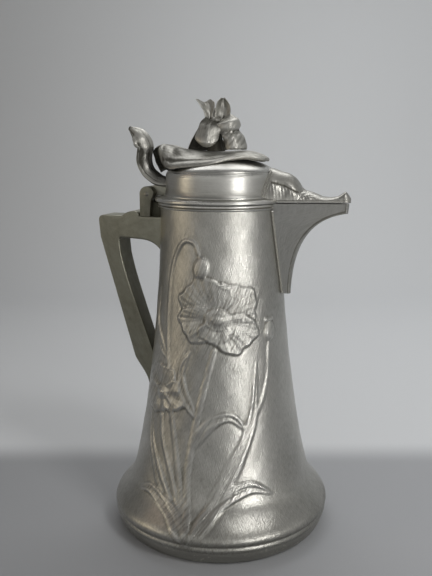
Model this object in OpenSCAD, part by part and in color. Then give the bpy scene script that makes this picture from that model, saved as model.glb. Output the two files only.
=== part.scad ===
// Lidded pewter flagon with a beak spout, an angular handle and a flower on its hinged lid.
// +X points along the spout, +Z is up, and the origin is the centre of the foot on the table.
// All sizes are millimetres.

/* [Body] */
// Height of the mouth edge above the table
mouth_z = 269; // [255:1:285]
// Outer radius of the wall at the mouth
mouth_r = 48.4; // [44:0.2:54]
// Thickness of the cast wall
wall = 2; // [1.6:0.1:2.6]
// Length of the nearly straight neck below the mouth
neck_len = 70; // [55:1:85]
// Largest outer radius, on the bulge of the foot
bulge_r = 90.5; // [80:0.5:98]
// Height of the bulge
bulge_z = 19; // [17:0.5:22]
// How far the wall's turn into the shoulder of the foot is set in from the bulge
shoulder_in = 11.5; // [9:0.5:14]
// Height of that turn
shoulder_z = 36; // [34:0.5:40]

/* [Foot] */
// How far the foot's outer edge on the table is set in from the bulge
foot_in = 8.5; // [6.5:0.5:10.5]
// Height of the foot ring
foot_h = 11; // [9:0.5:12]
// Width of the ring's flat underside
foot_flat = 5; // [3:0.5:7]
// Height of the ledge that carries the base plate
ledge_z = 4.5; // [3:0.5:5.5]
// Thickness of the base plate
plate_t = 1.8; // [1.4:0.1:2.6]
// Gap round the base plate, on the radius
plate_gap = 0.4; // [0.2:0.1:0.8]

/* [Mouth collar] */
// Height of the collar round the mouth
collar_h = 4.6; // [3:0.2:7]
// How far the collar stands out from the wall
collar_out = 2; // [1.2:0.1:2.6]

/* [Spout] */
// Reach of the spout's lip from the flagon's axis
spout_reach = 102; // [94:1:112]
// Half the width of the spout where it joins the mouth
spout_half_w = 18; // [15:0.5:20]
// Half the width of the spout at its lip and along its keel
keel_half_w = 4; // [3.4:0.1:5]
// Drop from the mouth edge to the spout's lowest point
spout_drop = 72; // [61:1:84]
// How far the keel stands off the wall at the lowest point
keel_off = 6.5; // [5.5:0.5:9]
// Depth of the lip at the tip of the spout
lip_depth = 7.5; // [6:0.5:10]
// Thickness of the spout's sides
spout_wall = 2; // [1.4:0.1:2.2]

/* [Handle] */
// Distance from the axis to the outer corner of the handle
handle_reach = 103.2; // [98:0.2:112]
// Drop from the mouth edge to the top of the handle's arm
arm_drop = 13; // [12:0.5:17]
// Depth of the arm
arm_depth = 18; // [15:0.5:21]
// Width of the arm
arm_w = 25; // [23:0.5:29]
// Thickness of the slanting grip, measured level
grip_t = 15.5; // [13:0.5:18]
// Width of the grip at its top
grip_top_w = 24; // [20:0.5:26]
// Width of the grip at its tail
grip_tail_w = 16; // [12:0.5:20]
// Height at which the grip's outer edge turns in to the wall
tail_z = 136; // [128:1:144]
// Drop from that turn to the end of the tail
tail_drop = 24; // [18:1:30]
// Rounding of the handle's outer corner
corner_r = 4; // [3:0.5:6]
// Length of the fillet under the arm, from the wall at the mouth
fillet_len = 17.6; // [14:0.2:20]
// Drop of that fillet down the wall
fillet_drop = 9; // [6:0.5:12]
// Height of the scroll moulded on the arm beside the hinge
scroll_h = 4.5; // [2:0.5:5]
// Length of that scroll
scroll_len = 15; // [10:1:18]

/* [Hinge] */
// Distance from the wall at the mouth to the hinge pin
hinge_out = 10.9; // [10.6:0.1:12.6]
// Height of the hinge pin above the mouth edge
hinge_up = 5; // [4.4:0.1:5.6]
// Radius of the hinge pin
pin_r = 2; // [1.4:0.1:2.6]
// Radius of the hinge knuckles
knuckle_r = 6.2; // [5:0.1:6.3]
// Width of the middle knuckle, which the lid carries
middle_w = 10.8; // [8:0.2:13]
// Sideways gap between two knuckles
knuckle_gap = 0.3; // [0.2:0.05:0.6]
// Running clearance of the pin in the middle knuckle, on the radius
pin_run = 0.06; // [0.03:0.01:0.1]
// Clearance of the pin in the two outer knuckles, on the radius
pin_seat = 0.02; // [0.01:0.01:0.03]

/* [Lid] */
// Gap between the closed lid and the mouth edge
lid_gap = 0.3; // [0.2:0.05:0.6]
// How far the lid's flange stands out from the wall at the mouth
flange_out = 4.2; // [3:0.1:4.2]
// Thickness of the flange
flange_t = 4; // [3:0.1:5]
// How far the drum that stands on the flange is set in from the wall at the mouth
drum_in = 4.4; // [3.4:0.2:6]
// Height of the drum
drum_h = 18.5; // [15:0.5:22]
// Rise of the dome above the drum
dome_rise = 12; // [9:0.5:15]
// Thickness of the lid's sheet
lid_wall = 2.2; // [1.6:0.1:2.8]
// Depth of the ring that hangs inside the mouth
bezel_depth = 5; // [3:0.5:6]
// Clearance of that ring inside the mouth, on the radius
bezel_clear = 0.9; // [0.7:0.1:1.4]
// Thickness of that ring
bezel_t = 1.6; // [1.2:0.1:2.2]

/* [Spout cover] */
// How far the cover's edge overhangs the spout
cover_over = 1.2; // [0.6:0.1:2]
// Height of the cover's upright edge
cover_edge_h = 3; // [2.4:0.1:3.4]
// Thickness of the cover
cover_wall = 1.8; // [1.4:0.1:2.2]
// Width of the strap that hides the joint of cover and drum
strap_w = 4; // [2.5:0.5:6]
// Thickness of that strap
strap_t = 1.6; // [1:0.1:2.4]

/* [Thumbpiece] */
// Height of the thumbpiece's top above the hinge pin
thumb_h = 54.5; // [48:0.5:58]
// Largest width of the thumbpiece
thumb_w = 23; // [18:0.5:24]
// Thickness of the thumbpiece at its neck
thumb_t = 5; // [3.6:0.2:6]

/* [Leaf] */
// How far the leaf on the lid hangs over the drum towards the handle
leaf_over = 5; // [1:0.5:6]
// How far the leaf's tip towards the spout is set in from the drum's edge
leaf_tip_in = 5; // [2:0.5:9]
// How far the sides of the leaf are set in from the drum's edge
leaf_side_in = 6; // [3:0.5:11]
// Thickness of the leaf
leaf_t = 2.4; // [1.8:0.1:3]
// Height of the leaf's top above the dome's top, at the flower
leaf_up = 4.5; // [4:0.1:6]
// How far the hooded end of the leaf stands above the flower's seat
hood_up = 5; // [3:0.5:7]

/* [Flower] */
// Offset of the flower from the axis, towards the handle
flower_back = 4; // [2:0.5:6]
// Height from the leaf to the heart of the flower
heart_up = 22.5; // [20:0.5:26]
// Height from the heart to the top of the standing petals
petal_up = 19; // [16:0.5:22]
// Reach of the hanging petals from the flower's axis
petal_out = 23; // [20:0.5:25]
// Width of a hanging petal
fall_w = 19; // [15:0.5:20]
// Width of a standing petal
standard_w = 12; // [9:0.5:12.5]
// Thickness of a petal
petal_t = 1.8; // [1.4:0.1:2.2]
// Radius of the spigot that fixes the flower through leaf and dome
spigot_r = 3; // [2:0.1:3.6]
// Clearance of the spigot in its holes, on the radius
spigot_clear = 0.1; // [0.05:0.05:0.3]

/* [Hidden] */
// Hanging petals by name and bearing, then standing petals
FALLS = [["fall_side", -100], ["fall_spout", 0], ["fall_handle", 170]];
STANDARDS = [["standard_handle", -160], ["standard_far", 120], ["standard_spout", 38]];

// Facets on round shapes
$fn = 96;
// A length that reaches past a face which is cut through
past = 1;

// Colours of the cast, the smooth and the dull pewter, and of the pin
cast_pewter = [0.56, 0.55, 0.51];
smooth_pewter = [0.66, 0.65, 0.61];
dull_pewter = [0.47, 0.46, 0.40];
pin_metal = [0.42, 0.40, 0.36];

// Heights and radii that follow from the driving sizes
bore_r = mouth_r - wall;
shoulder_r = bulge_r - shoulder_in;
foot_r = bulge_r - foot_in;
hinge_x = mouth_r + hinge_out;
flange_r = mouth_r + flange_out;
drum_r = mouth_r - drum_in;
leaf_back = drum_r + leaf_over;
leaf_front = drum_r - leaf_tip_in;
leaf_half_w = drum_r - leaf_side_in;
hinge_z = mouth_z + hinge_up;
lid_z = mouth_z + lid_gap;
flange_z = lid_z + flange_t;
drum_top_z = flange_z + drum_h;
drum_in_r = drum_r - lid_wall;
dome_top_z = drum_top_z + dome_rise;
leaf_top_z = dome_top_z + leaf_up;
heart_z = leaf_top_z + heart_up;
spout_low_z = mouth_z - spout_drop;
arm_top_z = mouth_z - arm_drop;
arm_low_z = arm_top_z - arm_depth;
tail_end_z = tail_z - tail_drop;
foot_top_r = bulge_r - 1.8;
ledge_r = mix(foot_r, foot_top_r, 0.4) - wall;

function mix(a, b, t) = a + (b - a) * t;
function unit(v) = v / norm(v);
function bezier(p, t) =
    pow(1 - t, 3) * p[0] + 3 * pow(1 - t, 2) * t * p[1] + 3 * (1 - t) * t * t * p[2] + pow(t, 3) * p[3];
function curve(p, n) = [for (i = [0:n]) bezier(p, i / n)];
function curve_after_start(p, n) = [for (i = [1:n]) bezier(p, i / n)];
function reversed(list) = [for (i = [len(list) - 1:-1:0]) list[i]];

// Left-hand normal of an open outline at one of its points
function left_of(points, i) =
    let (v = unit(points[min(i + 1, len(points) - 1)] - points[max(i - 1, 0)])) [-v.y, v.x];

// An open outline moved to its left by a distance
function beside(points, d) = [for (i = [0:len(points) - 1]) points[i] + d * left_of(points, i)];

// A closed solid through rings with equal counts of points, and with flat ends
module skin(rings) {
    n = len(rings[0]);
    last = len(rings) - 1;
    sides = [
        for (k = [0:last - 1], i = [0:n - 1])
            let (a = k * n, b = a + n, j = (i + 1) % n)
                each [[a + i, b + j, a + j], [a + i, b + i, b + j]]
    ];
    low = [for (i = [0:n - 1]) i];
    high = [for (i = [n - 1:-1:0]) last * n + i];
    polyhedron([for (ring = rings) each ring], concat(sides, [low, high]));
}

// A closed sheet between an upper and a lower grid of points
module sheet(upper, lower) {
    rows = len(upper);
    cols = len(upper[0]);
    n = 2 * cols;
    rings = [for (k = [0:rows - 1]) concat(upper[k], reversed(lower[k]))];
    sides = [
        for (k = [0:rows - 2], i = [0:n - 1])
            let (a = k * n, b = a + n, j = (i + 1) % n)
                each [[a + i, a + j, b + j], [a + i, b + j, b + i]]
    ];
    top = (rows - 1) * n;
    ends = [
        for (i = [0:cols - 2])
            let (j = i + 1, p = n - 2 - i, q = n - 1 - i)
                each [[i, p, j], [i, q, p], [top + i, top + j, top + p], [top + i, top + p, top + q]]
    ];
    polyhedron([for (ring = rings) each ring], concat(sides, ends));
}

// A side view in X and Z made into a plate of one width, centred on Y
module upright(points, width) {
    rotate([90, 0, 0])
        linear_extrude(width, center = true)
            polygon(points);
}

// A round bar along Y on the hinge axis
module hinge_bar(radius, length, y = 0) {
    translate([-hinge_x, y, hinge_z])
        rotate([90, 0, 0])
            cylinder(h = length, r = radius, center = true);
}

// Outline of the wall from the mouth down to the foot ring
shoulder = [shoulder_r, shoulder_z];
bulge = [bulge_r, bulge_z];
shoulder_dir = unit([1, -2]);
wall_outline = concat(
    curve([[mouth_r, mouth_z], [mouth_r, mouth_z - neck_len], shoulder - 39 * shoulder_dir, shoulder], 20),
    curve_after_start([shoulder, shoulder + 8 * shoulder_dir, bulge + [0, 5.5], bulge], 10),
    curve_after_start([bulge, bulge - [0, 3], [bulge_r - 0.4, foot_h + 2], [foot_top_r, foot_h]], 4));
wall_inside = beside(wall_outline, -wall);

function wall_r(z) = lookup(z, [for (p = reversed(wall_outline)) [p.y, p.x]]);

// The body's outside as a filled solid, for fitting other pieces to the wall
module filled_body() {
    rotate_extrude()
        polygon(concat([[0, mouth_z + past], [mouth_r, mouth_z + past]], wall_outline, [[0, foot_h]]));
}

module body_wall() {
    inner = [for (i = [1:len(wall_inside) - 2]) wall_inside[i]];
    color(cast_pewter)
    difference() {
        rotate([0, 0, 90])
            rotate_extrude()
                polygon(concat(wall_outline, [[foot_top_r - wall, foot_h]],
                               reversed(inner), [[bore_r, mouth_z]]));
        wall_opening();
    }
}

// The way from the vessel into the spout, inside the line along which the spout is soldered on
module wall_opening() {
    low_z = mix(spout_low_z, mouth_z, 0.28);
    mid_z = mix(spout_low_z, mouth_z, 0.6);
    half = [for (z = [low_z, mid_z, mouth_z + past]) [spout_w(z) - spout_wall - 0.5, z]];
    rotate([90, 0, 90])
        linear_extrude(mouth_r + 15)
            polygon(concat(half, [for (p = reversed(half)) [-p.x, p.y]]));
}

module foot_ring() {
    outside = curve([[foot_top_r, foot_h], [foot_top_r - 0.6, 0.65 * foot_h],
                     [foot_r + 3, 0.25 * foot_h], [foot_r, 0]], 8);
    inside = [[foot_r - foot_flat, 0], [foot_r - foot_flat, ledge_z], [ledge_r, ledge_z],
              [foot_top_r - wall, foot_h]];
    color(cast_pewter)
    rotate_extrude()
        polygon(concat(outside, inside));
}

module base_plate() {
    color(smooth_pewter)
    translate([0, 0, ledge_z])
        cylinder(h = plate_t, r = ledge_r - plate_gap);
}

module mouth_collar() {
    outer_r = mouth_r + collar_out;
    color(smooth_pewter)
    difference() {
        rotate([0, 0, 90])
            rotate_extrude()
                polygon([[mouth_r, mouth_z], [outer_r - 0.4, mouth_z], [outer_r, mouth_z - 1],
                         [outer_r, mouth_z - collar_h + 1.2], [mouth_r + 0.6, mouth_z - collar_h],
                         [wall_r(mouth_z - collar_h), mouth_z - collar_h]]);
        spout_solid(past);
    }
}

// Keel of the spout in X and Z, from its lowest point to the lip
keel_low = [wall_r(spout_low_z) + keel_off, spout_low_z];
keel_tip = [spout_reach - 0.6, mouth_z - lip_depth];
keel_run = keel_tip - keel_low;
keel = concat(
    curve([keel_low, keel_low + [0.8, 0.45 * keel_run.y],
           keel_tip - [0.82 * keel_run.x, 5], keel_tip], 14),
    [[spout_reach, mouth_z]]);

// Half the width of the spout at the wall, by height
function spout_w(z) =
    mix(keel_half_w, spout_half_w, pow(max(0, z - spout_low_z) / (mouth_z - spout_low_z), 1.3));

// One level section of the spout, drawn inward by an inset and run back inside the wall
function spout_ring(tip, z, inset, back_x) =
    let (nose = keel_half_w - inset, w = spout_w(z) - inset, xn = tip - nose,
         xs = sqrt(pow(wall_r(z), 2) - w * w),
         slope = (w - nose) / max(xn - xs, 3), back_w = nose + slope * (xn - back_x))
        concat([[back_x, -back_w, z]],
               [for (a = [-90:22.5:90]) [xn + nose * cos(a), nose * sin(a), z]],
               [[back_x, back_w, z]]);

// The spout as a filled solid, which can run on above the mouth to cut other pieces
module spout_solid(above = 0) {
    rings = [for (p = keel) spout_ring(p.x, p.y, 0, mouth_r - 10)];
    extra = above > 0 ? [spout_ring(spout_reach, mouth_z + above, 0, mouth_r - 10)] : [];
    skin(concat(rings, extra));
}

// The way along the inside of the spout
module spout_channel() {
    inner = beside(keel, spout_wall);
    top = inner[len(inner) - 1];
    rings = [for (i = [4:len(inner) - 2]) spout_ring(inner[i].x, inner[i].y, spout_wall, mouth_r - 12)];
    skin(concat(rings, [spout_ring(top.x, mouth_z + past, spout_wall, mouth_r - 12)]));
}

module spout_beak() {
    color(smooth_pewter)
    difference() {
        spout_solid();
        spout_channel();
        filled_body();
    }
}

// Side view of the arm, from inside the wall out to the handle's corner and back
scroll_back = hinge_x + knuckle_r + 1;
arm_outline = concat(
    [[-mouth_r + 3 * wall, arm_top_z], [-scroll_back, arm_top_z]],
    curve_after_start([[-scroll_back, arm_top_z], [-scroll_back, arm_top_z + 1.4 * scroll_h],
           [-scroll_back - 0.7 * scroll_len, arm_top_z + scroll_h],
           [-scroll_back - scroll_len, arm_top_z]], 6),
    curve_after_start([[-handle_reach + corner_r, arm_top_z], [-handle_reach + 0.38 * corner_r, arm_top_z],
           [-handle_reach, arm_top_z - 0.38 * corner_r], [-handle_reach, arm_top_z - corner_r]], 4),
    [[-handle_reach + 0.25 * corner_r, arm_low_z], [-mouth_r - fillet_len, arm_low_z - 0.11 * fillet_drop]],
    curve_after_start([[-mouth_r - fillet_len, arm_low_z - 0.11 * fillet_drop],
           [-mouth_r - 0.55 * fillet_len, arm_low_z - 0.18 * fillet_drop],
           [-mouth_r - 0.26 * fillet_len, arm_low_z - 0.38 * fillet_drop],
           [-mouth_r, arm_low_z - fillet_drop]], 6),
    [[-mouth_r + 3 * wall, arm_low_z - fillet_drop]]);

module handle_arm() {
    color(dull_pewter)
    difference() {
        upright(arm_outline, arm_w);
        filled_body();
        // The collar runs on round the mouth above the arm
        translate([0, 0, mouth_z - collar_h])
            cylinder(h = collar_h + past, r = mouth_r + collar_out);
    }
}

// Side view of the grip: a straight outer edge, a tail that turns in, and a rounded inner corner
grip_top_x = -handle_reach + 0.25 * corner_r;
tail_x = -wall_r(tail_z) - 17;
grip_outline = concat(
    [[grip_top_x, arm_low_z]],
    curve([[tail_x, tail_z], [tail_x + 3, tail_z - 7], [tail_x + 11, tail_z - 0.6 * tail_drop],
           [-wall_r(tail_end_z) - 1.5, tail_end_z]], 6),
    [[-wall_r(tail_end_z) + 4, tail_end_z], [-wall_r(tail_z) + 6, tail_z]],
    curve([[tail_x + grip_t + 2, tail_z + 4],
           mix([tail_x, tail_z], [grip_top_x, arm_low_z], 0.5) + [grip_t, 0],
           [grip_top_x + grip_t, arm_low_z - 16], [grip_top_x + grip_t + 2, arm_low_z]], 8));

module handle_grip() {
    top = grip_top_w / 2;
    tail = grip_tail_w / 2;
    color(dull_pewter)
    difference() {
        intersection() {
            upright(grip_outline, grip_top_w);
            // The grip narrows evenly towards its tail
            rotate([90, 0, 90])
                linear_extrude(2 * handle_reach, center = true)
                    polygon([[-tail, tail_end_z - past], [tail, tail_end_z - past],
                             [top, arm_low_z + past], [-top, arm_low_z + past]]);
        }
        filled_body();
        upright(arm_outline, arm_w);
    }
}

module hinge_post() {
    slot_w = middle_w + 2 * knuckle_gap;
    side_w = (arm_w - slot_w) / 2;
    back = -hinge_x - knuckle_r;
    front = -hinge_x + 2.5;
    color(dull_pewter)
    difference() {
        union() {
            upright([[back, arm_top_z], [front, arm_top_z], [front + 1.5, hinge_z], [back, hinge_z]], arm_w);
            hinge_bar(knuckle_r, arm_w);
        }
        hinge_bar(pin_r + pin_seat, arm_w + 2 * past);
        // Room for the lid's knuckle
        translate([-hinge_x - 2 * knuckle_r, -slot_w / 2, hinge_z - knuckle_r - knuckle_gap])
            cube([4 * knuckle_r, slot_w, 3 * knuckle_r]);
    }
}

module hinge_pin() {
    color(pin_metal)
    hinge_bar(pin_r, arm_w + 1);
}

module lid_flange() {
    color(smooth_pewter)
    rotate_extrude()
        polygon([[drum_in_r, lid_z], [flange_r - 1, lid_z], [flange_r, lid_z + 1], [flange_r, flange_z - 1.3],
                 [flange_r - 1.3, flange_z], [drum_in_r, flange_z]]);
}

module lid_drum() {
    color(smooth_pewter)
    rotate_extrude()
        translate([drum_in_r, flange_z])
            square([lid_wall, drum_h]);
}

// Upper outline of the dome, from the drum's edge to the axis
dome_outline = curve([[drum_r, drum_top_z], [drum_r - 2, drum_top_z + 0.5 * dome_rise],
                      [0.5 * drum_r, dome_top_z - 0.4], [0, dome_top_z]], 12);
seat_r = 8;
seat_z = leaf_top_z - leaf_t - 0.3;

module lid_dome() {
    under = [for (p = reversed(dome_outline)) [max(0, p.x - lid_wall * p.x / drum_r), p.y - lid_wall]];
    below = [for (p = under) if (p.y > drum_top_z) p];
    color(smooth_pewter)
    difference() {
        union() {
            rotate_extrude()
                polygon(concat(dome_outline, below, [[drum_in_r, drum_top_z]]));
            // Seat of the leaf under the flower
            translate([-flower_back, 0, dome_top_z - 1.2])
                cylinder(h = seat_z - dome_top_z + 1.2, r = seat_r);
        }
        spigot_hole();
    }
}

module spigot_hole() {
    translate([-flower_back, 0, drum_top_z])
        cylinder(h = heart_z - drum_top_z, r = spigot_r + spigot_clear);
}

module lid_bezel() {
    outer_r = bore_r - bezel_clear;
    color(smooth_pewter)
    translate([0, 0, lid_z - bezel_depth])
        difference() {
            cylinder(h = bezel_depth, r = outer_r);
            translate([0, 0, -past])
                cylinder(h = bezel_depth + 2 * past, r = outer_r - bezel_t);
        }
}

// Drum and flange as filled solids, for fitting pieces round the lid
module filled_lid() {
    translate([0, 0, lid_z - past])
        cylinder(h = flange_t + past, r = flange_r);
    translate([0, 0, lid_z])
        cylinder(h = drum_top_z - lid_z, r = drum_r);
}

lug_outline = [[-drum_r + 4, flange_z], [-hinge_x + 2, flange_z], [-hinge_x, hinge_z + knuckle_r],
               [-drum_r + 4, hinge_z + knuckle_r + 3]];

module lug_solid() {
    upright(lug_outline, middle_w);
    hinge_bar(knuckle_r, middle_w);
}

module lid_lug() {
    color(smooth_pewter)
    difference() {
        lug_solid();
        hinge_bar(pin_r + pin_run, middle_w + 2 * past);
        filled_lid();
    }
}

// Middle line of the thumbpiece from the hinge pin as parts of its height, its half width and its thickness
thumb_line = [[0.266, 0.165, 0.5, 0.7], [0.11, 0.211, 0.78, 0.9], [-0.028, 0.275, 0.84, 1],
              [-0.1, 0.385, 0.8, 1], [-0.128, 0.532, 0.74, 1], [-0.117, 0.679, 0.84, 0.9],
              [-0.147, 0.817, 1, 0.75], [-0.23, 0.936, 0.9, 0.6], [-0.339, 0.976, 0.5, 0.45]];

module thumbpiece() {
    line = [for (p = thumb_line) [thumb_h * p.x - hinge_x, thumb_h * p.y + hinge_z]];
    function row(i, side) = [
        for (v = [-1:0.25:1])
            let (half_t = 0.5 * thumb_t * thumb_line[i][3] * (1 - 0.45 * v * v),
                 p = line[i] + (side * half_t - 0.07 * thumb_w * v * v) * left_of(line, i))
                [p.x, 0.5 * thumb_w * thumb_line[i][2] * v, p.y]
    ];
    color(cast_pewter)
    difference() {
        sheet([for (i = [0:len(line) - 1]) row(i, 1)], [for (i = [0:len(line) - 1]) row(i, -1)]);
        lug_solid();
        filled_lid();
    }
}

// Ridge of the spout cover above the lid's lower edge, by its place between drum and tip
cover_tip = spout_reach + cover_over;
cover_ridge = [[-0.16, 24.4], [0, 24], [0.22, 19.5], [0.31, 17], [0.37, 13], [0.45, 9.8], [0.58, 7.6],
               [0.66, 4.6], [0.82, 4.4], [0.9, 6.6], [0.94, 7.4], [0.97, 5.8], [1, 3.6]];

// Half the width of the cover, which follows the spout's upper edge
function cover_half_w(x) =
    let (nose = keel_half_w + cover_over, xn = cover_tip - nose,
         xs = sqrt(pow(mouth_r, 2) - pow(spout_half_w, 2)),
         straight = nose + (spout_half_w - keel_half_w) * (xn - x) / (xn - xs))
        x < xn ? straight : max(0.6, sqrt(max(0, nose * nose - pow(x - xn, 2))));

// One upright section of the cover, drawn inward by an inset
function cover_ring(k, inset) =
    let (x = mix(drum_r, cover_tip, k), w = cover_half_w(x) - inset,
         ridge = lookup(k, cover_ridge) - 1.3 * inset,
         edge = min(cover_edge_h, ridge - 0.4), low = lid_z - (inset > 0 ? past : 0))
        concat([[x, -w, low], [x, w, low]],
               [for (a = [0:15:180]) [x, w * cos(a), lid_z + edge + (ridge - edge) * pow(sin(a), 1.3)]]);

cover_steps = [-0.16, 0, 0.1, 0.22, 0.31, 0.37, 0.45, 0.52, 0.58, 0.62, 0.66, 0.74, 0.82, 0.86,
               0.9, 0.94, 0.97, 0.988, 1];

module cover_solid() {
    skin([for (k = cover_steps) cover_ring(k, 0)]);
}

module spout_cover() {
    color(smooth_pewter)
    difference() {
        cover_solid();
        skin([for (k = [-0.16, 0, 0.1, 0.22, 0.31, 0.37, 0.45, 0.52]) cover_ring(k, cover_wall)]);
        filled_lid();
        translate([0, 0, drum_top_z - past])
            cylinder(h = dome_rise, r = drum_r);
    }
}

// Arched strap on the drum, round the root of the cover
module cover_strap() {
    arch = [for (p = cover_ring(0.02, -strap_w)) [p.y, p.z]];
    color(cast_pewter)
    difference() {
        intersection() {
            rotate([90, 0, 90])
                linear_extrude(drum_r + strap_t)
                    polygon(arch);
            translate([0, 0, flange_z])
                cylinder(h = drum_h + dome_rise, r = drum_r + strap_t);
        }
        translate([0, 0, lid_z])
            cylinder(h = drum_h + 2 * dome_rise, r = drum_r);
        cover_solid();
    }
}

// The leaf by its place from back to front: half width, crest above the flower's seat, and fall of its edge
// as a part of the height from the drum to the flower's seat
leaf_width = [[0, 0.52], [0.1, 0.7], [0.25, 0.92], [0.45, 1],
              [0.65, 0.93], [0.82, 0.7], [0.93, 0.42], [1, 0.14]];
leaf_crest = [[0, 0.5], [0.07, 1], [0.24, 0.2], [0.5, 0], [0.75, -0.2], [0.9, -0.6], [1, -1]];
leaf_fall = [[0, 0.97], [0.12, 1], [0.35, 0.73], [0.55, 0.515], [0.75, 0.3], [1, 0.09]];

function leaf_point(u, v, drop) =
    [mix(-leaf_back, leaf_front, u), leaf_half_w * lookup(u, leaf_width) * v,
     leaf_top_z + hood_up * lookup(u, leaf_crest)
     - (leaf_top_z - drum_top_z) * lookup(u, leaf_fall) * pow(abs(v), 2.2) - drop];

module lid_leaf() {
    steps = [0, 0.035, 0.07, 0.12, 0.18, 0.25, 0.35, 0.45, 0.55, 0.65, 0.75, 0.83, 0.9, 0.96, 1];
    color(cast_pewter)
    difference() {
        sheet([for (u = steps) [for (v = [-1:0.125:1]) leaf_point(u, v, 0)]],
              [for (u = steps) [for (v = [-1:0.125:1]) leaf_point(u, v, leaf_t)]]);
        rotate_extrude()
            polygon(concat(dome_outline, [[0, drum_top_z - past], [drum_r, drum_top_z - past]]));
        translate([-flower_back, 0, dome_top_z - 1.2])
            cylinder(h = seat_z - dome_top_z + 1.2, r = seat_r);
        translate([-flower_back, 0, leaf_top_z - 0.5])
            cylinder(h = heart_up, r = seat_r);
        spigot_hole();
    }
}

module stem_solid() {
    low_z = dome_top_z - lid_wall - 2.2;
    base_z = leaf_top_z - 0.5;
    translate([-flower_back, 0, 0])
        rotate_extrude()
            polygon([[0, low_z], [spigot_r + 1, low_z], [spigot_r + 1.5, low_z + 0.8],
                     [spigot_r + 1.5, low_z + 1.7], [spigot_r, low_z + 1.7], [spigot_r, base_z],
                     [seat_r - 0.6, base_z], [6, base_z + 2.5], [4.3, base_z + 7],
                     [3.8, base_z + 0.6 * heart_up], [5, heart_z - 2.5], [0, heart_z - 2.5]]);
}

module flower_stem() {
    color(cast_pewter)
    stem_solid();
}

module heart_solid() {
    translate([-flower_back, 0, heart_z])
        sphere(r = 5.4);
}

module flower_heart() {
    color(cast_pewter)
    difference() {
        heart_solid();
        stem_solid();
    }
}

// A petal along a curve of reach and height, with its widths by place and its cup
module petal(bearing, path, width, widths, cup) {
    line = curve(path, 9);
    function row(i, side) = [
        for (v = [-1:0.25:1])
            let (half_t = 0.5 * petal_t * (1 - 0.4 * v * v),
                 p = line[i] + (side * half_t + cup * v * v) * left_of(line, i))
                [p.x, 0.5 * width * lookup(i / 9, widths) * v, p.y]
    ];
    color(cast_pewter)
    difference() {
        translate([-flower_back, 0, 0])
            rotate([0, 0, bearing])
                sheet([for (i = [0:9]) row(i, 1)], [for (i = [0:9]) row(i, -1)]);
        heart_solid();
        stem_solid();
    }
}

fall_widths = [[0, 0.25], [0.2, 0.42], [0.45, 0.85], [0.68, 1], [0.87, 0.88], [1, 0.45]];
standard_widths = [[0, 0.25], [0.25, 0.4], [0.55, 0.95], [0.75, 1], [0.9, 0.85], [1, 0.5]];

// Tip of a hanging petal: its reach, and its height above the leaf's top at the flower
fall_tips = [[0.66 * petal_out, 3.4], [0.92 * petal_out, 2.4], [petal_out, 4.4]];

module fall(i) {
    tip = [fall_tips[i].x, leaf_top_z + fall_tips[i].y];
    petal(FALLS[i][1], [[2, heart_z], [0.5 * petal_out, heart_z + 4],
                        [tip.x + 4, mix(tip.y, heart_z, 0.75)], tip],
          fall_w, fall_widths, -1.4);
}

// Lean of a standing petal: the reach of its middle and of its tip
standard_leans = [[7, 17], [11, 9.5], [12, 10.5]];

module standard(i) {
    lean = standard_leans[i];
    petal(STANDARDS[i][1], [[2.6, heart_z + 3], [0.6 * lean.x + 2.6, heart_z + 0.45 * petal_up],
                            [lean.x, heart_z + 0.85 * petal_up], [lean.y, heart_z + 0.95 * petal_up]],
          standard_w, standard_widths, 0.8);
}

body_wall();
foot_ring();
base_plate();
mouth_collar();
spout_beak();
handle_arm();
handle_grip();
hinge_post();
hinge_pin();
lid_flange();
lid_drum();
lid_dome();
lid_bezel();
lid_lug();
thumbpiece();
spout_cover();
cover_strap();
lid_leaf();
flower_stem();
flower_heart();
for (i = [0:2]) {
    fall(i);
    standard(i);
}
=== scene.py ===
import math
import bpy
import bmesh
import numpy as np
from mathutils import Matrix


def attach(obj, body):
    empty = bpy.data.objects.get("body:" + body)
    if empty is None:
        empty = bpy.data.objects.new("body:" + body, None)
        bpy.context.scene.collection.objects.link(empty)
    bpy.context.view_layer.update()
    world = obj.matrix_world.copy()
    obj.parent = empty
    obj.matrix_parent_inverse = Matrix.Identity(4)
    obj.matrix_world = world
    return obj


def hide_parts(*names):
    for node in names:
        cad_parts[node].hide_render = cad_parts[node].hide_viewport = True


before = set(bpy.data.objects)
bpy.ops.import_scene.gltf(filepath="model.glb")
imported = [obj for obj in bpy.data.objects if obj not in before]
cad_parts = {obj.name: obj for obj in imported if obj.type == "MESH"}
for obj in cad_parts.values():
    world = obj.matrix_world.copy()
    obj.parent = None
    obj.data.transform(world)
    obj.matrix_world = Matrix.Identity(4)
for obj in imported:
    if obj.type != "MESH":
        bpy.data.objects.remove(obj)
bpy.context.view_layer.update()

# The wall of the vessel: one pewter casting, turned inside and chased outside with poppies in low relief on
# both broad sides. It is open to the spout above, its skin keeps the strokes of the scraper, and a groove and a
# bead are turned in it under the bulge.
MOUTH_Z, MOUTH_R, WALL = 269.0, 48.4, 2.0
SHOULDER, BULGE, GROOVE, BEAD = np.array([[75.7, 41.5], [90.2, 19.5], [88.9, 16.4], [89.6, 13.5]])
FOOT_TOP = (88.5, 11.0)


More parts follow.
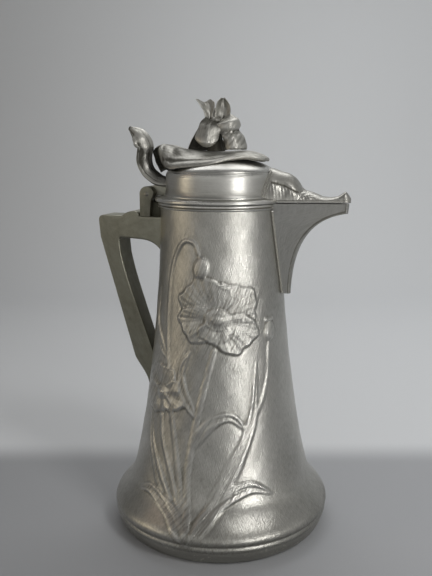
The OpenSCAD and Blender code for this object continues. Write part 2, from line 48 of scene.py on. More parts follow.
class Value:
    """A number that varies over a surface. Sums and products with it add Math nodes."""

    def __init__(self, finish, socket):
        self.finish, self.socket = finish, socket

    def math(self, operation, first, second=0.0):
        return self.finish.node("ShaderNodeMath", {"operation": operation}, {0: first, 1: second})

    def __add__(self, other):
        return self.math("ADD", self, other)

    def __sub__(self, other):
        return self.math("SUBTRACT", self, other)

    def __rsub__(self, other):
        return self.math("SUBTRACT", other, self)

    def __mul__(self, other):
        return self.math("MULTIPLY", self, other)

    __radd__, __rmul__ = __add__, __mul__

    def span(self, low, high):
        """0 at low, 1 at high, and held to that range."""
        return self.finish.node("ShaderNodeMapRange", {"interpolation_type": "SMOOTHSTEP"},
                                {"Value": self, "From Min": low, "From Max": high})


class Finish:
    """One finish of the metal: a material, and one way to add a node to it. The room's light is made likewise."""

    def __init__(self, name, room=None):
        self.material = room or bpy.data.materials.new(name)
        self.material.use_nodes = True
        self.tree = self.material.node_tree
        self.shader = self.tree.nodes["Background" if room else "Principled BSDF"]

    def node(self, kind, settings=None, sockets=None, output=0):
        node = self.tree.nodes.new(kind)
        for key, value in (settings or {}).items():
            setattr(node, key, value)
        self.feed(node, sockets or {})
        return Value(self, node.outputs[output])

    def feed(self, node, sockets):
        for key, value in sockets.items():
            if isinstance(value, Value):
                self.tree.links.new(value.socket, node.inputs[key])
            else:
                node.inputs[key].default_value = value

    def blend(self, factor, first, second):
        return self.node("ShaderNodeMix", {"data_type": "RGBA"}, {0: factor, 6: first, 7: second}, 2)

    def clouds(self, where, scale, detail=3.0, stretch=(1, 1, 1), turn=0.0):
        """Noise in spots of about 1 / scale metres, which can be stretched into strokes and turned."""
        if stretch != (1, 1, 1) or turn:
            where = self.node("ShaderNodeMapping", {"vector_type": "TEXTURE"}, {
                "Vector": where, "Rotation": (0, 0, math.radians(turn)), "Scale": [1 / part for part in stretch]})
        return self.node("ShaderNodeTexNoise", {"noise_dimensions": "3D"},
                         {"Vector": where, "Scale": scale, "Detail": detail, "Roughness": 0.55})


def pewter(name, bright, dark, rough, strokes, turn=0.0, cut=0.5, tarnish=0.5, specks_and_darker_base=0.0, metal=1.0, hatch=0.0):
    """Aged pewter: bright where it is rubbed, dark in its hollows and under painted shade, with tool strokes along
    the surface.
    """
    f = Finish(name)
    uv = f.node("ShaderNodeUVMap")
    place = f.node("ShaderNodeTexCoord", None, None, 3)
    hollow = f.node("ShaderNodeAttribute", {"attribute_name": "hollow"}, None, 2)
    long_strokes = f.clouds(uv, 1.0, 4.0, strokes, turn)
    cross_strokes = f.clouds(uv, 1.0, 2.0, (strokes[0] * 0.7, strokes[1] * 1.6, 1), turn - 38)
    tone = f.clouds(place, 28.0, 4.0)
    grain = f.clouds(place, 1500.0, 2.0)
    # The hollow mark holds the patina of real hollows and also painted shade laid on by pieces; both darken the
    # colour through deep.
    worn = hollow.span(-0.04, -0.5)
    deep = hollow.span(0.02, 0.55)
    skin = (tone - 0.5) * tarnish + (long_strokes - 0.5) * cut + (cross_strokes - 0.5) * 0.8 * cut \
        + (grain - 0.5) * 0.3
    skin = 0.42 + skin + deep * 0.75 - worn * 0.6
    height = long_strokes * 0.55 + cross_strokes * 0.45 + grain * 0.14
    if hatch:
        chased = f.node("ShaderNodeAttribute", {"attribute_name": "chased"}, None, 2)
        cuts = f.clouds(uv, 1.0, 2.0, (620, 48, 1), turn - 40).span(0.42, 0.62) * chased * hatch
        skin = skin + cuts * 0.5 - chased * 0.2 * hatch
        height = height - cuts * 0.8
    # Where specks is set, the colour is also darker towards the bottom, within 40 mm of the floor.
    if specks_and_darker_base:
        low = f.node("ShaderNodeSeparateXYZ", None, {0: place}, 2).span(0.04, 0.008)
        skin = skin + low * 0.45 * specks_and_darker_base
    colour = f.blend(skin.span(0.0, 1.25), bright, dark)
    if specks_and_darker_base:
        pits = f.clouds(place, 420.0, 3.0).span(0.56, 0.68) * f.clouds(place, 45.0, 2.0).span(0.46, 0.6)
        colour = f.blend(pits * low * specks_and_darker_base, colour, (0.62, 0.61, 0.54, 1))
    f.feed(f.shader, {
        "Base Color": colour, "Metallic": (1.0 - deep * 0.35) * metal,
        "Roughness": rough + (tone - 0.5) * 0.16 + (long_strokes - 0.5) * 0.22 + deep * 0.22 - worn * 0.06,
        "Normal": f.node("ShaderNodeBump", None, {"Strength": 0.9 * cut, "Distance": 0.0006, "Height": height})})
    return f


def join(*lines):
    return np.concatenate(lines)


def spots(*parts):
    """Points, or steps, from what they measure along each axis."""
    return np.stack(np.broadcast_arrays(*parts), axis=-1)


def put_in_place(mesh, name, finish, body, nodes, crease):
    """Makes an object of a finished mesh, riding on a body in place of some CAD nodes."""
    mesh.shade_smooth()
    mesh.set_sharp_from_angle(angle=math.radians(crease))
    mesh.materials.append(finish.material)
    obj = bpy.data.objects.new(name, mesh)
    bpy.context.collection.objects.link(obj)
    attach(obj, body)
    if nodes:
        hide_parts(*nodes)


class Casting:
    """The surfaces of one piece, each laid down as a grid of points in millimetres."""

    def __init__(self):
        self.points, self.faces, self.uv, self.marks = [], [], [], {"hollow": []}
        self.count = 0

    def surface(self, grid, around=False, loop=False, flip=False, keep=None, hollow=None, **marks):
        """Adds a grid, closed round its columns or its rows where asked, with marks kept at its points."""
        rows, cols = grid.shape[:2]
        index = self.count + np.arange(rows * cols).reshape(rows, cols)
        ext = grid
        if around:
            index, ext = np.hstack([index, index[:, :1]]), np.hstack([ext, ext[:, :1]])
        if loop:
            index, ext = np.vstack([index, index[:1]]), join(ext, ext[:1])
        step_c = np.linalg.norm(np.diff(ext, axis=1), axis=2).mean(axis=0)
        step_r = np.linalg.norm(np.diff(ext, axis=0), axis=2).mean(axis=1)
        u, v = np.meshgrid(join([0], np.cumsum(step_c)), join([0], np.cumsum(step_r)))
        uv = spots(u, v) * 0.001
        near, far = slice(None, -1), slice(1, None)
        corners = [(near, near), (near, far), (far, far), (far, near)][::-1 if flip else 1]
        quads = np.stack([index[c] for c in corners], axis=2).reshape(-1, 4)
        quad_uv = np.stack([uv[c] for c in corners], axis=2).reshape(-1, 4, 2)
        if keep is not None:
            quads, quad_uv = quads[keep.ravel()], quad_uv[keep.ravel()]
        # Without a given mark, the hollows of the grid's own shape are used; some pieces pass painted shade in this
        # mark as well.
        if hollow is None:
            hollow = hollows(grid, around, loop) * (-1 if flip else 1)
        self.points.append(grid.reshape(-1, 3))
        self.faces.append(quads)
        self.uv.append(quad_uv)
        for key in set(marks) | set(self.marks):
            held = self.marks.setdefault(key, [np.zeros(self.count)])
            held.append(np.asarray(hollow if key == "hollow" else marks.get(key, np.zeros((rows, cols)))).ravel())
        self.count += rows * cols
        return self

    def piece(self, name, finish, body, slot, *nodes, crease=38):
        """Makes one mesh of the surfaces, in metres, and puts it in place."""
        mesh = bpy.data.meshes.new(name)
        mesh.from_pydata((np.concatenate(self.points) * 0.001).tolist(), [], np.concatenate(self.faces).tolist())
        layer = mesh.uv_layers.new(name="surface")
        layer.data.foreach_set("uv", np.concatenate(self.uv).astype(np.float32).ravel())
        for key, held in self.marks.items():
            mark = mesh.attributes.new(key, "FLOAT", "POINT")
            mark.data.foreach_set("value", np.concatenate(held).astype(np.float32))
        put_in_place(mesh, name, finish, body, nodes, crease)


def soften(grid, times, around=False, loop=False):
    """A grid of points, or of numbers, evened out over its neighbours."""
    for _ in range(times):
        for axis, wrap in ((0, loop), (1, around)):
            pad = [(int(a == axis),) * 2 for a in range(grid.ndim)]
            wide = np.moveaxis(np.pad(grid, pad, mode="wrap" if wrap else "edge"), axis, 0)
            grid = np.moveaxis(0.25 * wide[:-2] + 0.5 * wide[1:-1] + 0.25 * wide[2:], 0, axis)
    return grid


def unit(vectors):
    return vectors / (np.linalg.norm(vectors, axis=-1, keepdims=True) + 1e-9)


def facing(grid):
    """The way that a grid of points faces, at each of them."""
    return unit(np.cross(np.gradient(grid, axis=1), np.gradient(grid, axis=0)))


def hollows(grid, around=False, loop=False):
    """How far each point lies in a hollow: above zero in creases and below zero on ridges."""
    depth = ((soften(grid, 6, around, loop) - grid) * facing(grid)).sum(axis=2)
    rim = np.ones(depth.shape)
    if not loop:
        rim[:3], rim[-3:] = 0, 0
    if not around:
        rim[:, :3], rim[:, -3:] = 0, 0
    return np.clip(depth * rim * 4.0, -1, 1)


def bend(*points, count=20):
    """Points along a curve that leaves its first point towards the second and ends from the third."""
    p = np.array(points, float)
    t = np.linspace(0, 1, count)[:, None]
    return (1 - t) ** 3 * p[0] + 3 * (1 - t) ** 2 * t * p[1] + 3 * (1 - t) * t * t * p[2] + t ** 3 * p[3]


def even(points, count):
    """The same line with points at even distances."""
    points = np.asarray(points, float)
    way = join([0], np.cumsum(np.linalg.norm(np.diff(points, axis=0), axis=1)))
    at = np.linspace(0, way[-1], count)
    return np.stack([np.interp(at, way, points[:, k]) for k in range(points.shape[1])], axis=1)


def through(points, count):
    """A smooth line through the points, at even distances."""
    p = np.asarray(points, float)
    p = join([2 * p[0] - p[1]], p, [2 * p[-1] - p[-2]])
    out = []
    for a, b, c, d in zip(p, p[1:], p[2:], p[3:]):
        t = np.linspace(0, 1, 24, endpoint=False)[:, None]
        out.append(0.5 * (2 * b + (c - a) * t + (2 * a - 5 * b + 4 * c - d) * t * t
                          + (3 * b - a - 3 * c + d) * t ** 3))
    return even(np.concatenate(out + [p[-2:-1]]), count)


FLARE_WAY = np.array([0.424, -0.906])
wall_line = join(
    bend((MOUTH_R, MOUTH_Z), (MOUTH_R, MOUTH_Z - 91), SHOULDER - 21.3 * FLARE_WAY, SHOULDER, count=200),
    bend(SHOULDER, SHOULDER + 9.4 * FLARE_WAY, BULGE + (0, 6.3), BULGE, count=60)[1:],
    bend(BULGE, BULGE - (0, 1.4), GROOVE + (0.1, 0.8), GROOVE, count=12)[1:],
    bend(GROOVE, GROOVE - (0, 0.8), BEAD + (0, 1.3), BEAD, count=12)[1:],
    bend(BEAD, BEAD - (0, 0.9), (FOOT_TOP[0] + 0.3, FOOT_TOP[1] + 0.8), FOOT_TOP, count=10)[1:])[::-1]


def wall_r(z):
    """Radius of the wall's outside at a height."""
    return np.interp(z, wall_line[:, 1], wall_line[:, 0])


SPOUT_LOW_Z, KEEL_HALF, SPOUT_HALF, SPOUT_WALL = 197.0, 4.0, 18.0, 2.0


def spout_half(z):
    """Half the width of the opening behind the spout, with the spout's sides."""
    rise = np.clip((np.asarray(z, float) - SPOUT_LOW_Z) / (MOUTH_Z - SPOUT_LOW_Z), 0, None)
    return KEEL_HALF + (SPOUT_HALF - KEEL_HALF) * rise ** 1.3


def limit(part):
    return np.clip(part, 0, 1)


def step_up(part):
    """A step from 0 to 1 with both ends rounded."""
    part = limit(part)
    return part * part * (3 - 2 * part)


def hump(off, wide):
    """A rounded ridge: 1 on its line, and almost nothing twice its width away."""
    return np.exp(-(off / wide) ** 2)


def cos_sin(degrees):
    return math.cos(math.radians(degrees)), math.sin(math.radians(degrees))


def beside(U, V, line):
    """Distance of each point from a line, with its side, and how far along the line it lies."""
    step = np.linalg.norm(line[1] - line[0])
    best, at = np.full(U.shape, 1e9), np.zeros(U.shape, int)
    for k, (a, b) in enumerate(line):
        d = (U - a) ** 2 + (V - b) ** 2
        near = d < best
        best[near], at[near] = d[near], k
    tangent = unit(np.gradient(line, axis=0))
    du, dv = U - line[at, 0], V - line[at, 1]
    side = tangent[at, 0] * dv - tangent[at, 1] * du
    along = (at + (tangent[at, 0] * du + tangent[at, 1] * dv) / step) / (len(line) - 1)
    past = np.maximum(-along, along - 1).clip(0) * step * (len(line) - 1)
    return np.where(past > 0, np.sign(side) * np.hypot(side, past), side), along.clip(0, 1)


def lay(ground, form, edge, bank=1.5):
    """Lays a form over the ground. Edge is how far inside its outline a point lies, and the ground dips there."""
    rise = step_up(edge / bank)
    dip = ground - 0.13 * np.exp(-np.clip(-edge, 0, None) / 1.5) * (edge < 0)
    return dip * (1 - rise) + np.maximum(form, 0.05) * rise


def stalk(ground, U, V, points, thick=(2.9, 2.0), high=1.1):
    """A stem drawn as two fine ridges with a groove between them."""
    d, s = beside(U, V, through(points, 90))
    half = thick[0] + (thick[1] - thick[0]) * s
    form = high * (0.75 - 0.3 * hump(d, 0.3 * half))
    return lay(ground, form, half - abs(d), 1.5)


def blade(ground, U, V, points, wide, high, lobes=0.0):
    """A long leaf with a sunk midrib, fine veins along it, and a wavy edge that turns up."""
    d, s = beside(U, V, through(points, 90))
    length = np.linalg.norm(np.diff(np.array(points, float), axis=0), axis=1).sum()
    half = wide * np.sin(np.pi * limit(s * 0.94 + 0.04) ** 0.8) ** 0.8 + 0.2
    half = half * (1 + lobes * np.sin(s * length / 6.5 + np.sign(d) * 0.8))
    over = abs(d) / half
    form = 0.12 + high * (0.75 - 0.35 * over ** 2) * (0.5 + 0.5 * np.sin(np.pi * s)) \
        - 0.5 * high * hump(d, 0.7) + 0.14 * np.cos(over * 17 + s * 2) * (1 - over ** 4) \
        + 0.5 * high * hump(half - abs(d) - 0.7, 0.75) + 0.25 * high * np.sin(s * 8 + 1) * np.sign(d)
    return lay(ground, form, half - abs(d), 1.2)


def bloom(ground, U, V, centre, size, petals, squash, turn, seed):
    """A poppy seen from the side and above: crumpled petals over each other round a ribbed seed head."""
    x, y = U - centre[0], V - centre[1]
    ground = ground + 0.9 * np.exp(-(x * x + y * y) / (0.55 * size * size))
    c, s = cos_sin(turn)
    x, y = x * c + y * s, (y * c - x * s) / squash
    rho, bearing = np.hypot(x, y) / size, np.degrees(np.arctan2(y, x))
    for k, (way, spread, reach, base) in enumerate(petals):
        off = (bearing - way + 180) % 360 - 180
        part = limit(abs(off) / spread)
        frill = 0.05 * np.sin(off * 0.13 + seed + k) + 0.022 * np.sin(off * 0.31 + 2 * k + seed)
        out = reach * (np.cos(part * np.pi / 2) ** 0.36 + frill)
        edge = np.minimum((out - rho) * size, (spread - abs(off)) * np.radians(1) * rho * size * 1.2)
        run = limit(rho / np.maximum(out, 0.05))
        form = base + 1.15 * run ** 1.3 - 1.5 * limit(run - 0.7) * np.cos(part * np.pi / 2) \
            + 0.34 * run * np.cos(off * (0.115 + 0.01 * k) + 1.3 * k + seed) \
            + 0.11 * np.cos(off * 0.62 + seed + 0.8 * np.sin(rho * 7)) * limit(run * 2.2) \
            + 0.45 * hump(edge - 0.8, 0.9)
        ground = lay(ground, form, edge, 1.5)
    form = base + 0.75 + 0.3 * np.cos(np.radians(bearing) * 24) + 0.25 * np.sin(rho * 70 + seed)
    ground = lay(ground, form, (0.27 - rho) * size, 1.0)
    form = base + 0.7 + 1.2 * np.sqrt(limit(1 - (rho / 0.15) ** 2)) + 0.16 * np.cos(np.radians(bearing) * 9)
    return lay(ground, form, (0.15 - rho) * size, 0.8)


def pod(ground, U, V, centre, half, turn, ribs, crown=False):
    """A closed bud or a ripe seed head, egg-shaped and ribbed along its length."""
    c, s = cos_sin(turn)
    x, y = (U - centre[0]) * c + (V - centre[1]) * s, (V - centre[1]) * c - (U - centre[0]) * s
    q = np.hypot(x / (half[0] * (1 - 0.12 * y / half[1])), y / half[1])
    form = 0.3 + 1.6 * np.sqrt(limit(1 - q * q)) \
        + 0.14 * np.cos(ribs * np.arcsin(np.clip(x / half[0], -1, 1)))
    ground = lay(ground, form, (1 - q) * half[0])
    if crown:
        edge = np.minimum(half[0] * 0.82 - abs(x), 1.7 - abs(y - half[1] * 1.02 - 0.04 * x * x))
        ground = lay(ground, 1.2 + 0.2 * np.cos(x * 2.4), edge, 0.8)
    return ground


def poppies(U, V):
    """Height of the relief on one broad side, over places across and up the wall, laid down from back to front."""
    ground = np.zeros(U.shape)
    for form, *sizes in (
            (blade, [(-5, 19), (-25, 46), (-44, 76), (-50, 104)], 5.5, 1.0, 0.10),
            (blade, [(5, 18), (25, 58), (42, 102), (45, 150)], 5.2, 1.0, 0.08),
            (stalk, [(3, 17), (23, 68), (53, 124), (57, 164)], (2.5, 1.8), 0.9),
            (pod, (57.5, 172), (6.0, 8.5), 4, 9, True),
            (stalk, [(-3, 17), (-19, 86), (-31, 160), (-29, 212), (-18, 239), (-7, 241), (-2, 231)], (2.7, 1.8)),
            (pod, (-0.5, 221), (6.4, 11), 172, 5),
            (blade, [(-31, 150), (-43, 162), (-50, 180), (-46, 204)], 4.4, 0.9, 0.12),
            (stalk, [(-4, 17), (-17, 52), (-31, 84), (-34, 104)], (2.7, 2.0)),
            (bloom, (-35, 122), 27, [(90, 80, 1.02, 0.2), (200, 70, 0.98, 0.4), (-20, 70, 0.98, 0.5),
                                     (268, 68, 0.70, 0.7)], 0.8, 12, 0.7),
            (stalk, [(0, 17), (-6, 62), (1, 114), (11, 160)], (3.2, 2.3), 1.2),
            (blade, [(-3, 84), (9, 103), (25, 109), (39, 98)], 4.8, 1.0, 0.12),
            (blade, [(-2, 108), (-12, 124), (-15, 142), (-8, 158)], 4.0, 0.9, 0.12),
            (bloom, (13, 184), 38, [(60, 66, 0.98, 0.3), (134, 70, 1.0, 0.5), (214, 62, 0.86, 0.7),
                                    (-28, 70, 0.92, 0.85), (272, 64, 0.62, 1.05)], 0.84, -14, 2.1),
            (blade, [(2, 18), (18, 42), (42, 55), (64, 47)], 6.5, 1.2, 0.10),
            (blade, [(-2, 18), (-17, 35), (-40, 45), (-58, 40)], 5.4, 1.1, 0.10)):
        ground = form(ground, U, V, *sizes)
    return ground


ROWS, COLS, OPEN_COL, SIDE_HALF = 430, 620, 20.0, 86
INNER_ROWS, INNER_COLS = 6, 4
PLAIN_TOP, PLAIN_LOW, PLAIN_R = 265, 11.5, 90.3
line = even(wall_line, ROWS)
radius, height_z = line[:, :1], line[:, 1:]
spin = np.linspace(-180, 180, COLS, endpoint=False)[None, :]
opening_z = 0.72 * SPOUT_LOW_Z + 0.28 * MOUTH_Z
opening = np.degrees(np.arcsin((spout_half(np.maximum(height_z, opening_z)) - SPOUT_WALL - 0.5) / radius))
turn_deg = np.where(abs(spin) <= OPEN_COL, spin * opening / OPEN_COL,
                    np.sign(spin) * (opening + (abs(spin) - OPEN_COL) * (180 - opening) / (180 - OPEN_COL)))
relief = np.zeros((ROWS, COLS))
for centre_deg in (-90, 90):
    off = (turn_deg - centre_deg + 180) % 360 - 180
    near = np.where(abs(spin - centre_deg)[0] < SIDE_HALF)[0]
    U = (np.radians(off) * radius)[:, near]
    relief[:, near] = poppies(U, np.broadcast_to(height_z, U.shape))
uneven = sum(a * np.sin(np.radians(turn_deg) * m + height_z * w + p) for a, m, w, p in
             ((0.05, 7, 0.11, 0.3), (0.045, 11, -0.17, 1.9), (0.04, 17, 0.23, 4.1), (0.03, 29, -0.31, 2.2)))
fade = limit((PLAIN_TOP - height_z) / 12) * limit((height_z - PLAIN_LOW) / 6)
relief = soften(relief, 2, True)
form = (relief + uneven * fade) * limit((PLAIN_R - radius) / 2.5)
tangent = unit(np.gradient(line, axis=0))
out_r, out_z = radius + form * tangent[:, 1:2], height_z - form * tangent[:, 0:1]
angle = np.radians(turn_deg)
outer = spots(out_r * np.cos(angle), out_r * np.sin(angle), out_z)
outer[-1, :, 2], outer[0, :, 2] = MOUTH_Z, FOOT_TOP[1]
in_hole = (height_z[:-1] >= opening_z) & (abs(spin + 180 / COLS) < OPEN_COL)
pressed = np.clip(soften(relief, 10, True) - relief, -1, 1)
chased = limit(soften(np.clip(relief, 0, 0.6), 30, True) * 2.2)

body = Casting()
body.surface(outer, around=True, keep=~in_hole, hollow=pressed, chased=chased)
few = np.arange(0, ROWS, INNER_ROWS).tolist() + [ROWS - 1]
inner_r = (radius - WALL * tangent[:, 1:2])[few]
inner_z = np.clip((height_z + WALL * tangent[:, 0:1])[few], FOOT_TOP[1], MOUTH_Z)
side = angle[few][:, ::INNER_COLS]
inner = spots(inner_r * np.cos(side), inner_r * np.sin(side), inner_z)
hole = (height_z[few][:-1] >= opening_z - 3) & (abs(spin[:, ::INNER_COLS] + 180 * INNER_COLS / COLS) < OPEN_COL)
body.surface(inner, around=True, flip=True, keep=~hole)
body.surface(np.stack([outer[-1, ::INNER_COLS], inner[-1]]), around=True, keep=~hole[-1:])
body.surface(np.stack([inner[0], outer[0, ::INNER_COLS]]), around=True)
for edge_deg, flip in ((-OPEN_COL, False), (OPEN_COL, True)):
    column = int(np.argmin(abs(spin[0] - edge_deg)))
    rim = outer[height_z[:, 0] >= opening_z, column][::4]
    drawn_in = 1 - 2.2 / MOUTH_R
    body.surface(np.stack([rim, rim * (drawn_in, drawn_in, 1)], axis=1), flip=flip)
wall_finish = pewter("chased_pewter", (0.56, 0.55, 0.515, 1), (0.155, 0.148, 0.122, 1), 0.34,
                     (1500, 150, 1), turn=14, cut=0.6, tarnish=0.6, specks_and_darker_base=0.5, hatch=0.55)
body.piece("cast_wall", wall_finish, "flagon", "cast_pewter", "body_wall")

# The foot ring: a turned ring with a rounded outer edge, soldered under the bulge. It stands on a narrow flat,
# and a ledge inside it carries the base plate.
FOOT_R, FOOT_FLAT, LEDGE_Z = 82.0, 5.0, 4.5
LEDGE_R = FOOT_R + 0.4 * (FOOT_TOP[0] - FOOT_R) - WALL


def turned(profile, columns=192, start=0.0, end=360.0):
    """A profile of radius and height swept round the flagon's axis."""
    profile = np.asarray(profile, float)
    whole = abs(end - start) > 359.9
    a = np.radians(np.linspace(start, end, columns, endpoint=not whole))[None, :]
    r, z = profile[:, :1], profile[:, 1:]
    return spots(r * np.cos(a), r * np.sin(a), z)


def turning(profile, columns):
    """A ring turned to a closed profile."""
    return Casting().surface(turned(profile, columns), around=True, loop=True)


def filled(points, gap):
    """The same corners with points added between them, no further apart than the gap."""
    out = []
    for a, b in zip(points, points[1:]):
        a, b = np.asarray(a, float), np.asarray(b, float)
        n = max(1, int(np.linalg.norm(b - a) / gap))
        out += [a + (b - a) * k / n for k in range(n)]
    return np.array(out + [np.asarray(points[-1], float)])


foot_edge = bend((FOOT_R, 0.0), (FOOT_R + 3.6, 1.4), (FOOT_TOP[0] - 0.6, 6.8), FOOT_TOP, count=26)
foot_line = join(
    foot_edge, filled([(FOOT_TOP[0] - WALL, FOOT_TOP[1]), (LEDGE_R, LEDGE_Z), (FOOT_R - FOOT_FLAT, LEDGE_Z),
                       (FOOT_R - FOOT_FLAT, 0.0)], 1.2),
    filled([(FOOT_R - FOOT_FLAT + 0.5, 0.0), (FOOT_R - 0.4, 0.0)], 1.2))
# The foot ring is given darker colours than the wall: painted shade for the shadow it stands in close to the floor.
foot_shaded_finish = pewter("turned_foot", (0.40, 0.39, 0.355, 1), (0.10, 0.094, 0.076, 1), 0.4,
                     (60, 1300, 1), cut=0.5, tarnish=0.7, specks_and_darker_base=0.9)
turning(foot_line, 260).piece("foot_rim", foot_shaded_finish, "flagon", "cast_pewter", "foot_ring")

# The base plate: a spun disc of pewter that closes the vessel below. It is let into the foot and soldered on its
# ledge, and turned rings show on its underside.
PLATE_T, PLATE_R = 1.8, LEDGE_R - 0.4
ring_r = np.linspace(0.05, PLATE_R, 120)
plate_under = spots(ring_r, LEDGE_Z + 0.12 * (np.cos(ring_r * 0.52) + 1) * (ring_r < 76))
plate_over = spots(ring_r[::-3], LEDGE_Z + PLATE_T)
spun_finish = pewter("spun_base", (0.47, 0.462, 0.43, 1), (0.15, 0.142, 0.115, 1), 0.4,
                     (40, 1500, 1), cut=0.45, tarnish=0.8)
Casting().surface(turned(join(plate_under, plate_over), 160), around=True).piece(
    "base_disc", spun_finish, "flagon", "smooth_pewter", "base_plate")

# The collar: a turned band soldered round the mouth, on which the lid's flange comes down. It stops at the
# sides of the spout, and a fine groove runs along its middle.
COLLAR_R, COLLAR_H = MOUTH_R + 2.0, 4.6
collar_low = MOUTH_Z - COLLAR_H
collar_edge = np.array([COLLAR_R, collar_low])
collar_line = join(
    filled([(wall_r(collar_low) - 0.3, collar_low), (MOUTH_R + 0.7, collar_low)], 0.5),
    collar_edge + bend((-1.0, 0.15), (-0.2, 0.3), (0, 0.8), (0, 1.5), count=8),
    collar_edge + [(-0.55, 2.0), (-0.55, 2.3), (0, 2.8)],
    collar_edge + bend((0, 3.1), (0, 4.2), (-0.3, COLLAR_H), (-0.9, COLLAR_H), count=8),
    filled([(COLLAR_R - 1.1, MOUTH_Z), (MOUTH_R - 0.3, MOUTH_Z)], 0.5))
collar_gap = math.degrees(math.asin(SPOUT_HALF / COLLAR_R)) - 0.4
smooth_finish = pewter("turned_pewter", (0.58, 0.572, 0.54, 1), (0.165, 0.158, 0.13, 1), 0.35,
                       (55, 1400, 1), cut=0.36, tarnish=0.6)
Casting().surface(turned(collar_line, 220, collar_gap, 360 - collar_gap), loop=True).piece(
    "mouth_band", smooth_finish, "flagon", "smooth_pewter", "mouth_collar")

# The spout: a beak of cast sheet, soldered over an opening in the wall. Its sides run flat to a narrow keel,
# and a bead of solder is left along each seam.
REACH, LIP, PANEL_POINTS, NOSE_POINTS = 102.0, 7.5, 60, 25
PANEL_X, PANEL_Z, PANEL_HALF, PANEL_TAPER, PANEL_LEAN = 45.5, 265, 17.2, 0.262, 0.175
keel_low = np.array([wall_r(SPOUT_LOW_Z) + 6.5, SPOUT_LOW_Z])
keel_tip = np.array([REACH - 0.6, MOUTH_Z - LIP])
keel_run = keel_tip - keel_low
keel = even(join(
    bend(keel_low, keel_low + (0.8, 0.45 * keel_run[1]), keel_tip - (0.82 * keel_run[0], 5), keel_tip, count=90),
    [(REACH, MOUTH_Z - 1.5), (REACH - 0.1, MOUTH_Z)]), 110)


def panel_half(x, z):
    """Half the width of the beak at a place on its flat sides."""
    return PANEL_HALF - PANEL_TAPER * (x - PANEL_X) + PANEL_LEAN * (z - PANEL_Z)


def panel_root(z, inset, sink):
    """Where a flat side of the beak meets the wall."""
    x = np.full(np.shape(z), 48.0)
    for _ in range(12):
        half = np.maximum(panel_half(x, z) - inset, 1.0)
        x = np.sqrt((wall_r(z) - sink) ** 2 - half ** 2)
    return x, half


def beak_rings(keel_line, inset, sink):
    """Level sections of the beak from the wall round its nose and back, drawn in by an inset."""
    rings = []
    for tip, z in keel_line:
        back, half = panel_root(z, inset, sink)
        corner = max(tip - 2.2, back + 0.8)
        front = max(panel_half(corner, z) - inset, 1.6 - 0.4 * inset)
        turn_a = np.radians(np.linspace(-90, 90, NOSE_POINTS))
        nose = spots(corner + (tip - corner) * np.cos(turn_a) ** 0.8, front * np.sin(turn_a))
        root = np.array([back, -half])
        side = root + (nose[0] - root) * np.linspace(0, 1, PANEL_POINTS + 1)[:-1, None]
        flat = join(side, nose, (side * (1, -1))[::-1])
        rings.append(np.column_stack([flat, np.full(len(flat), z)]))
    return np.array(rings)


beak = Casting()
shell = beak_rings(keel, 0.0, 0.9)
to_keel = np.hypot(shell[..., None, 0] - keel[:, 0], shell[..., None, 2] - keel[:, 1]).min(axis=2)
# Painted dark reflection: a band along the keel's edge and the nose's front below the lip are darkened, as they would
# mirror the dark floor.
nose_painted_shade = 0.5 * hump(to_keel - 1.5, 0.8)
front = slice(PANEL_POINTS + 2, PANEL_POINTS + NOSE_POINTS)
nose_painted_shade[:, front] = np.clip((MOUTH_Z - LIP - shell[:, front, 2]) / 3, 0, 0.25)
beak.surface(shell, hollow=nose_painted_shade)
keel_way = unit(np.gradient(keel, axis=0))
lining_keel = keel + SPOUT_WALL * spots(-keel_way[:, 1], keel_way[:, 0])
lining_keel = lining_keel[lining_keel[:, 1] < MOUTH_Z][26:]
lining_keel = join(lining_keel, [(lining_keel[-1, 0], MOUTH_Z)])
lining = beak_rings(lining_keel, SPOUT_WALL, 2.4)
beak.surface(lining, flip=True)
beak.surface(np.stack([shell[-1], lining[-1]]))
beak.surface(np.stack([shell[0] * (1, 0.02, 1), shell[0]]))
beak_finish = pewter("beak_pewter", (0.53, 0.525, 0.495, 1), (0.15, 0.145, 0.122, 1), 0.36,
                     (900, 70, 1), turn=-4, cut=0.55, tarnish=0.6)
beak.piece("beak", beak_finish, "flagon", "smooth_pewter", "spout_beak", crease=50)


def rod(path, radius, sides):
    """A round bar along a path, with a radius at each point."""
    way = unit(np.gradient(path, axis=0))
    aside = unit(np.cross(way, (0.13, 0.21, 0.97)))[:, None]
    other = np.cross(aside[:, 0], way)[:, None]
    a = np.linspace(0, 2 * np.pi, sides, endpoint=False)[None, :, None]
    return path[:, None] + radius[:, None, None] * (aside * np.cos(a) + other * np.sin(a))


seams = Casting()
seam_z = np.linspace(SPOUT_LOW_Z + 0.5, collar_low - 0.3, 150)
seam_x, seam_y = panel_root(seam_z, 0.0, -0.1)
bead_r = 0.92 + 0.08 * np.sin(seam_z * 1.7) + 0.06 * np.sin(seam_z * 3.9 + 1)
bead_r[:4] *= np.linspace(0.3, 1, 4)
for mirror in (-1, 1):
    bead = spots(seam_x + 0.42, (seam_y + 0.46) * mirror, seam_z)
    seams.surface(rod(bead, bead_r, 10), around=True)
# The solder is paler and less metallic than the pewter: partly the solder's own look, partly a painted highlight that
# makes the seams show as bright lines.
solder_finish = pewter("solder", (0.68, 0.67, 0.63, 1), (0.32, 0.31, 0.27, 1), 0.34,
                       (300, 300, 1), cut=0.5, tarnish=0.4, metal=0.45)
seams.piece("spout_seams", solder_finish, "flagon", "smooth_pewter")

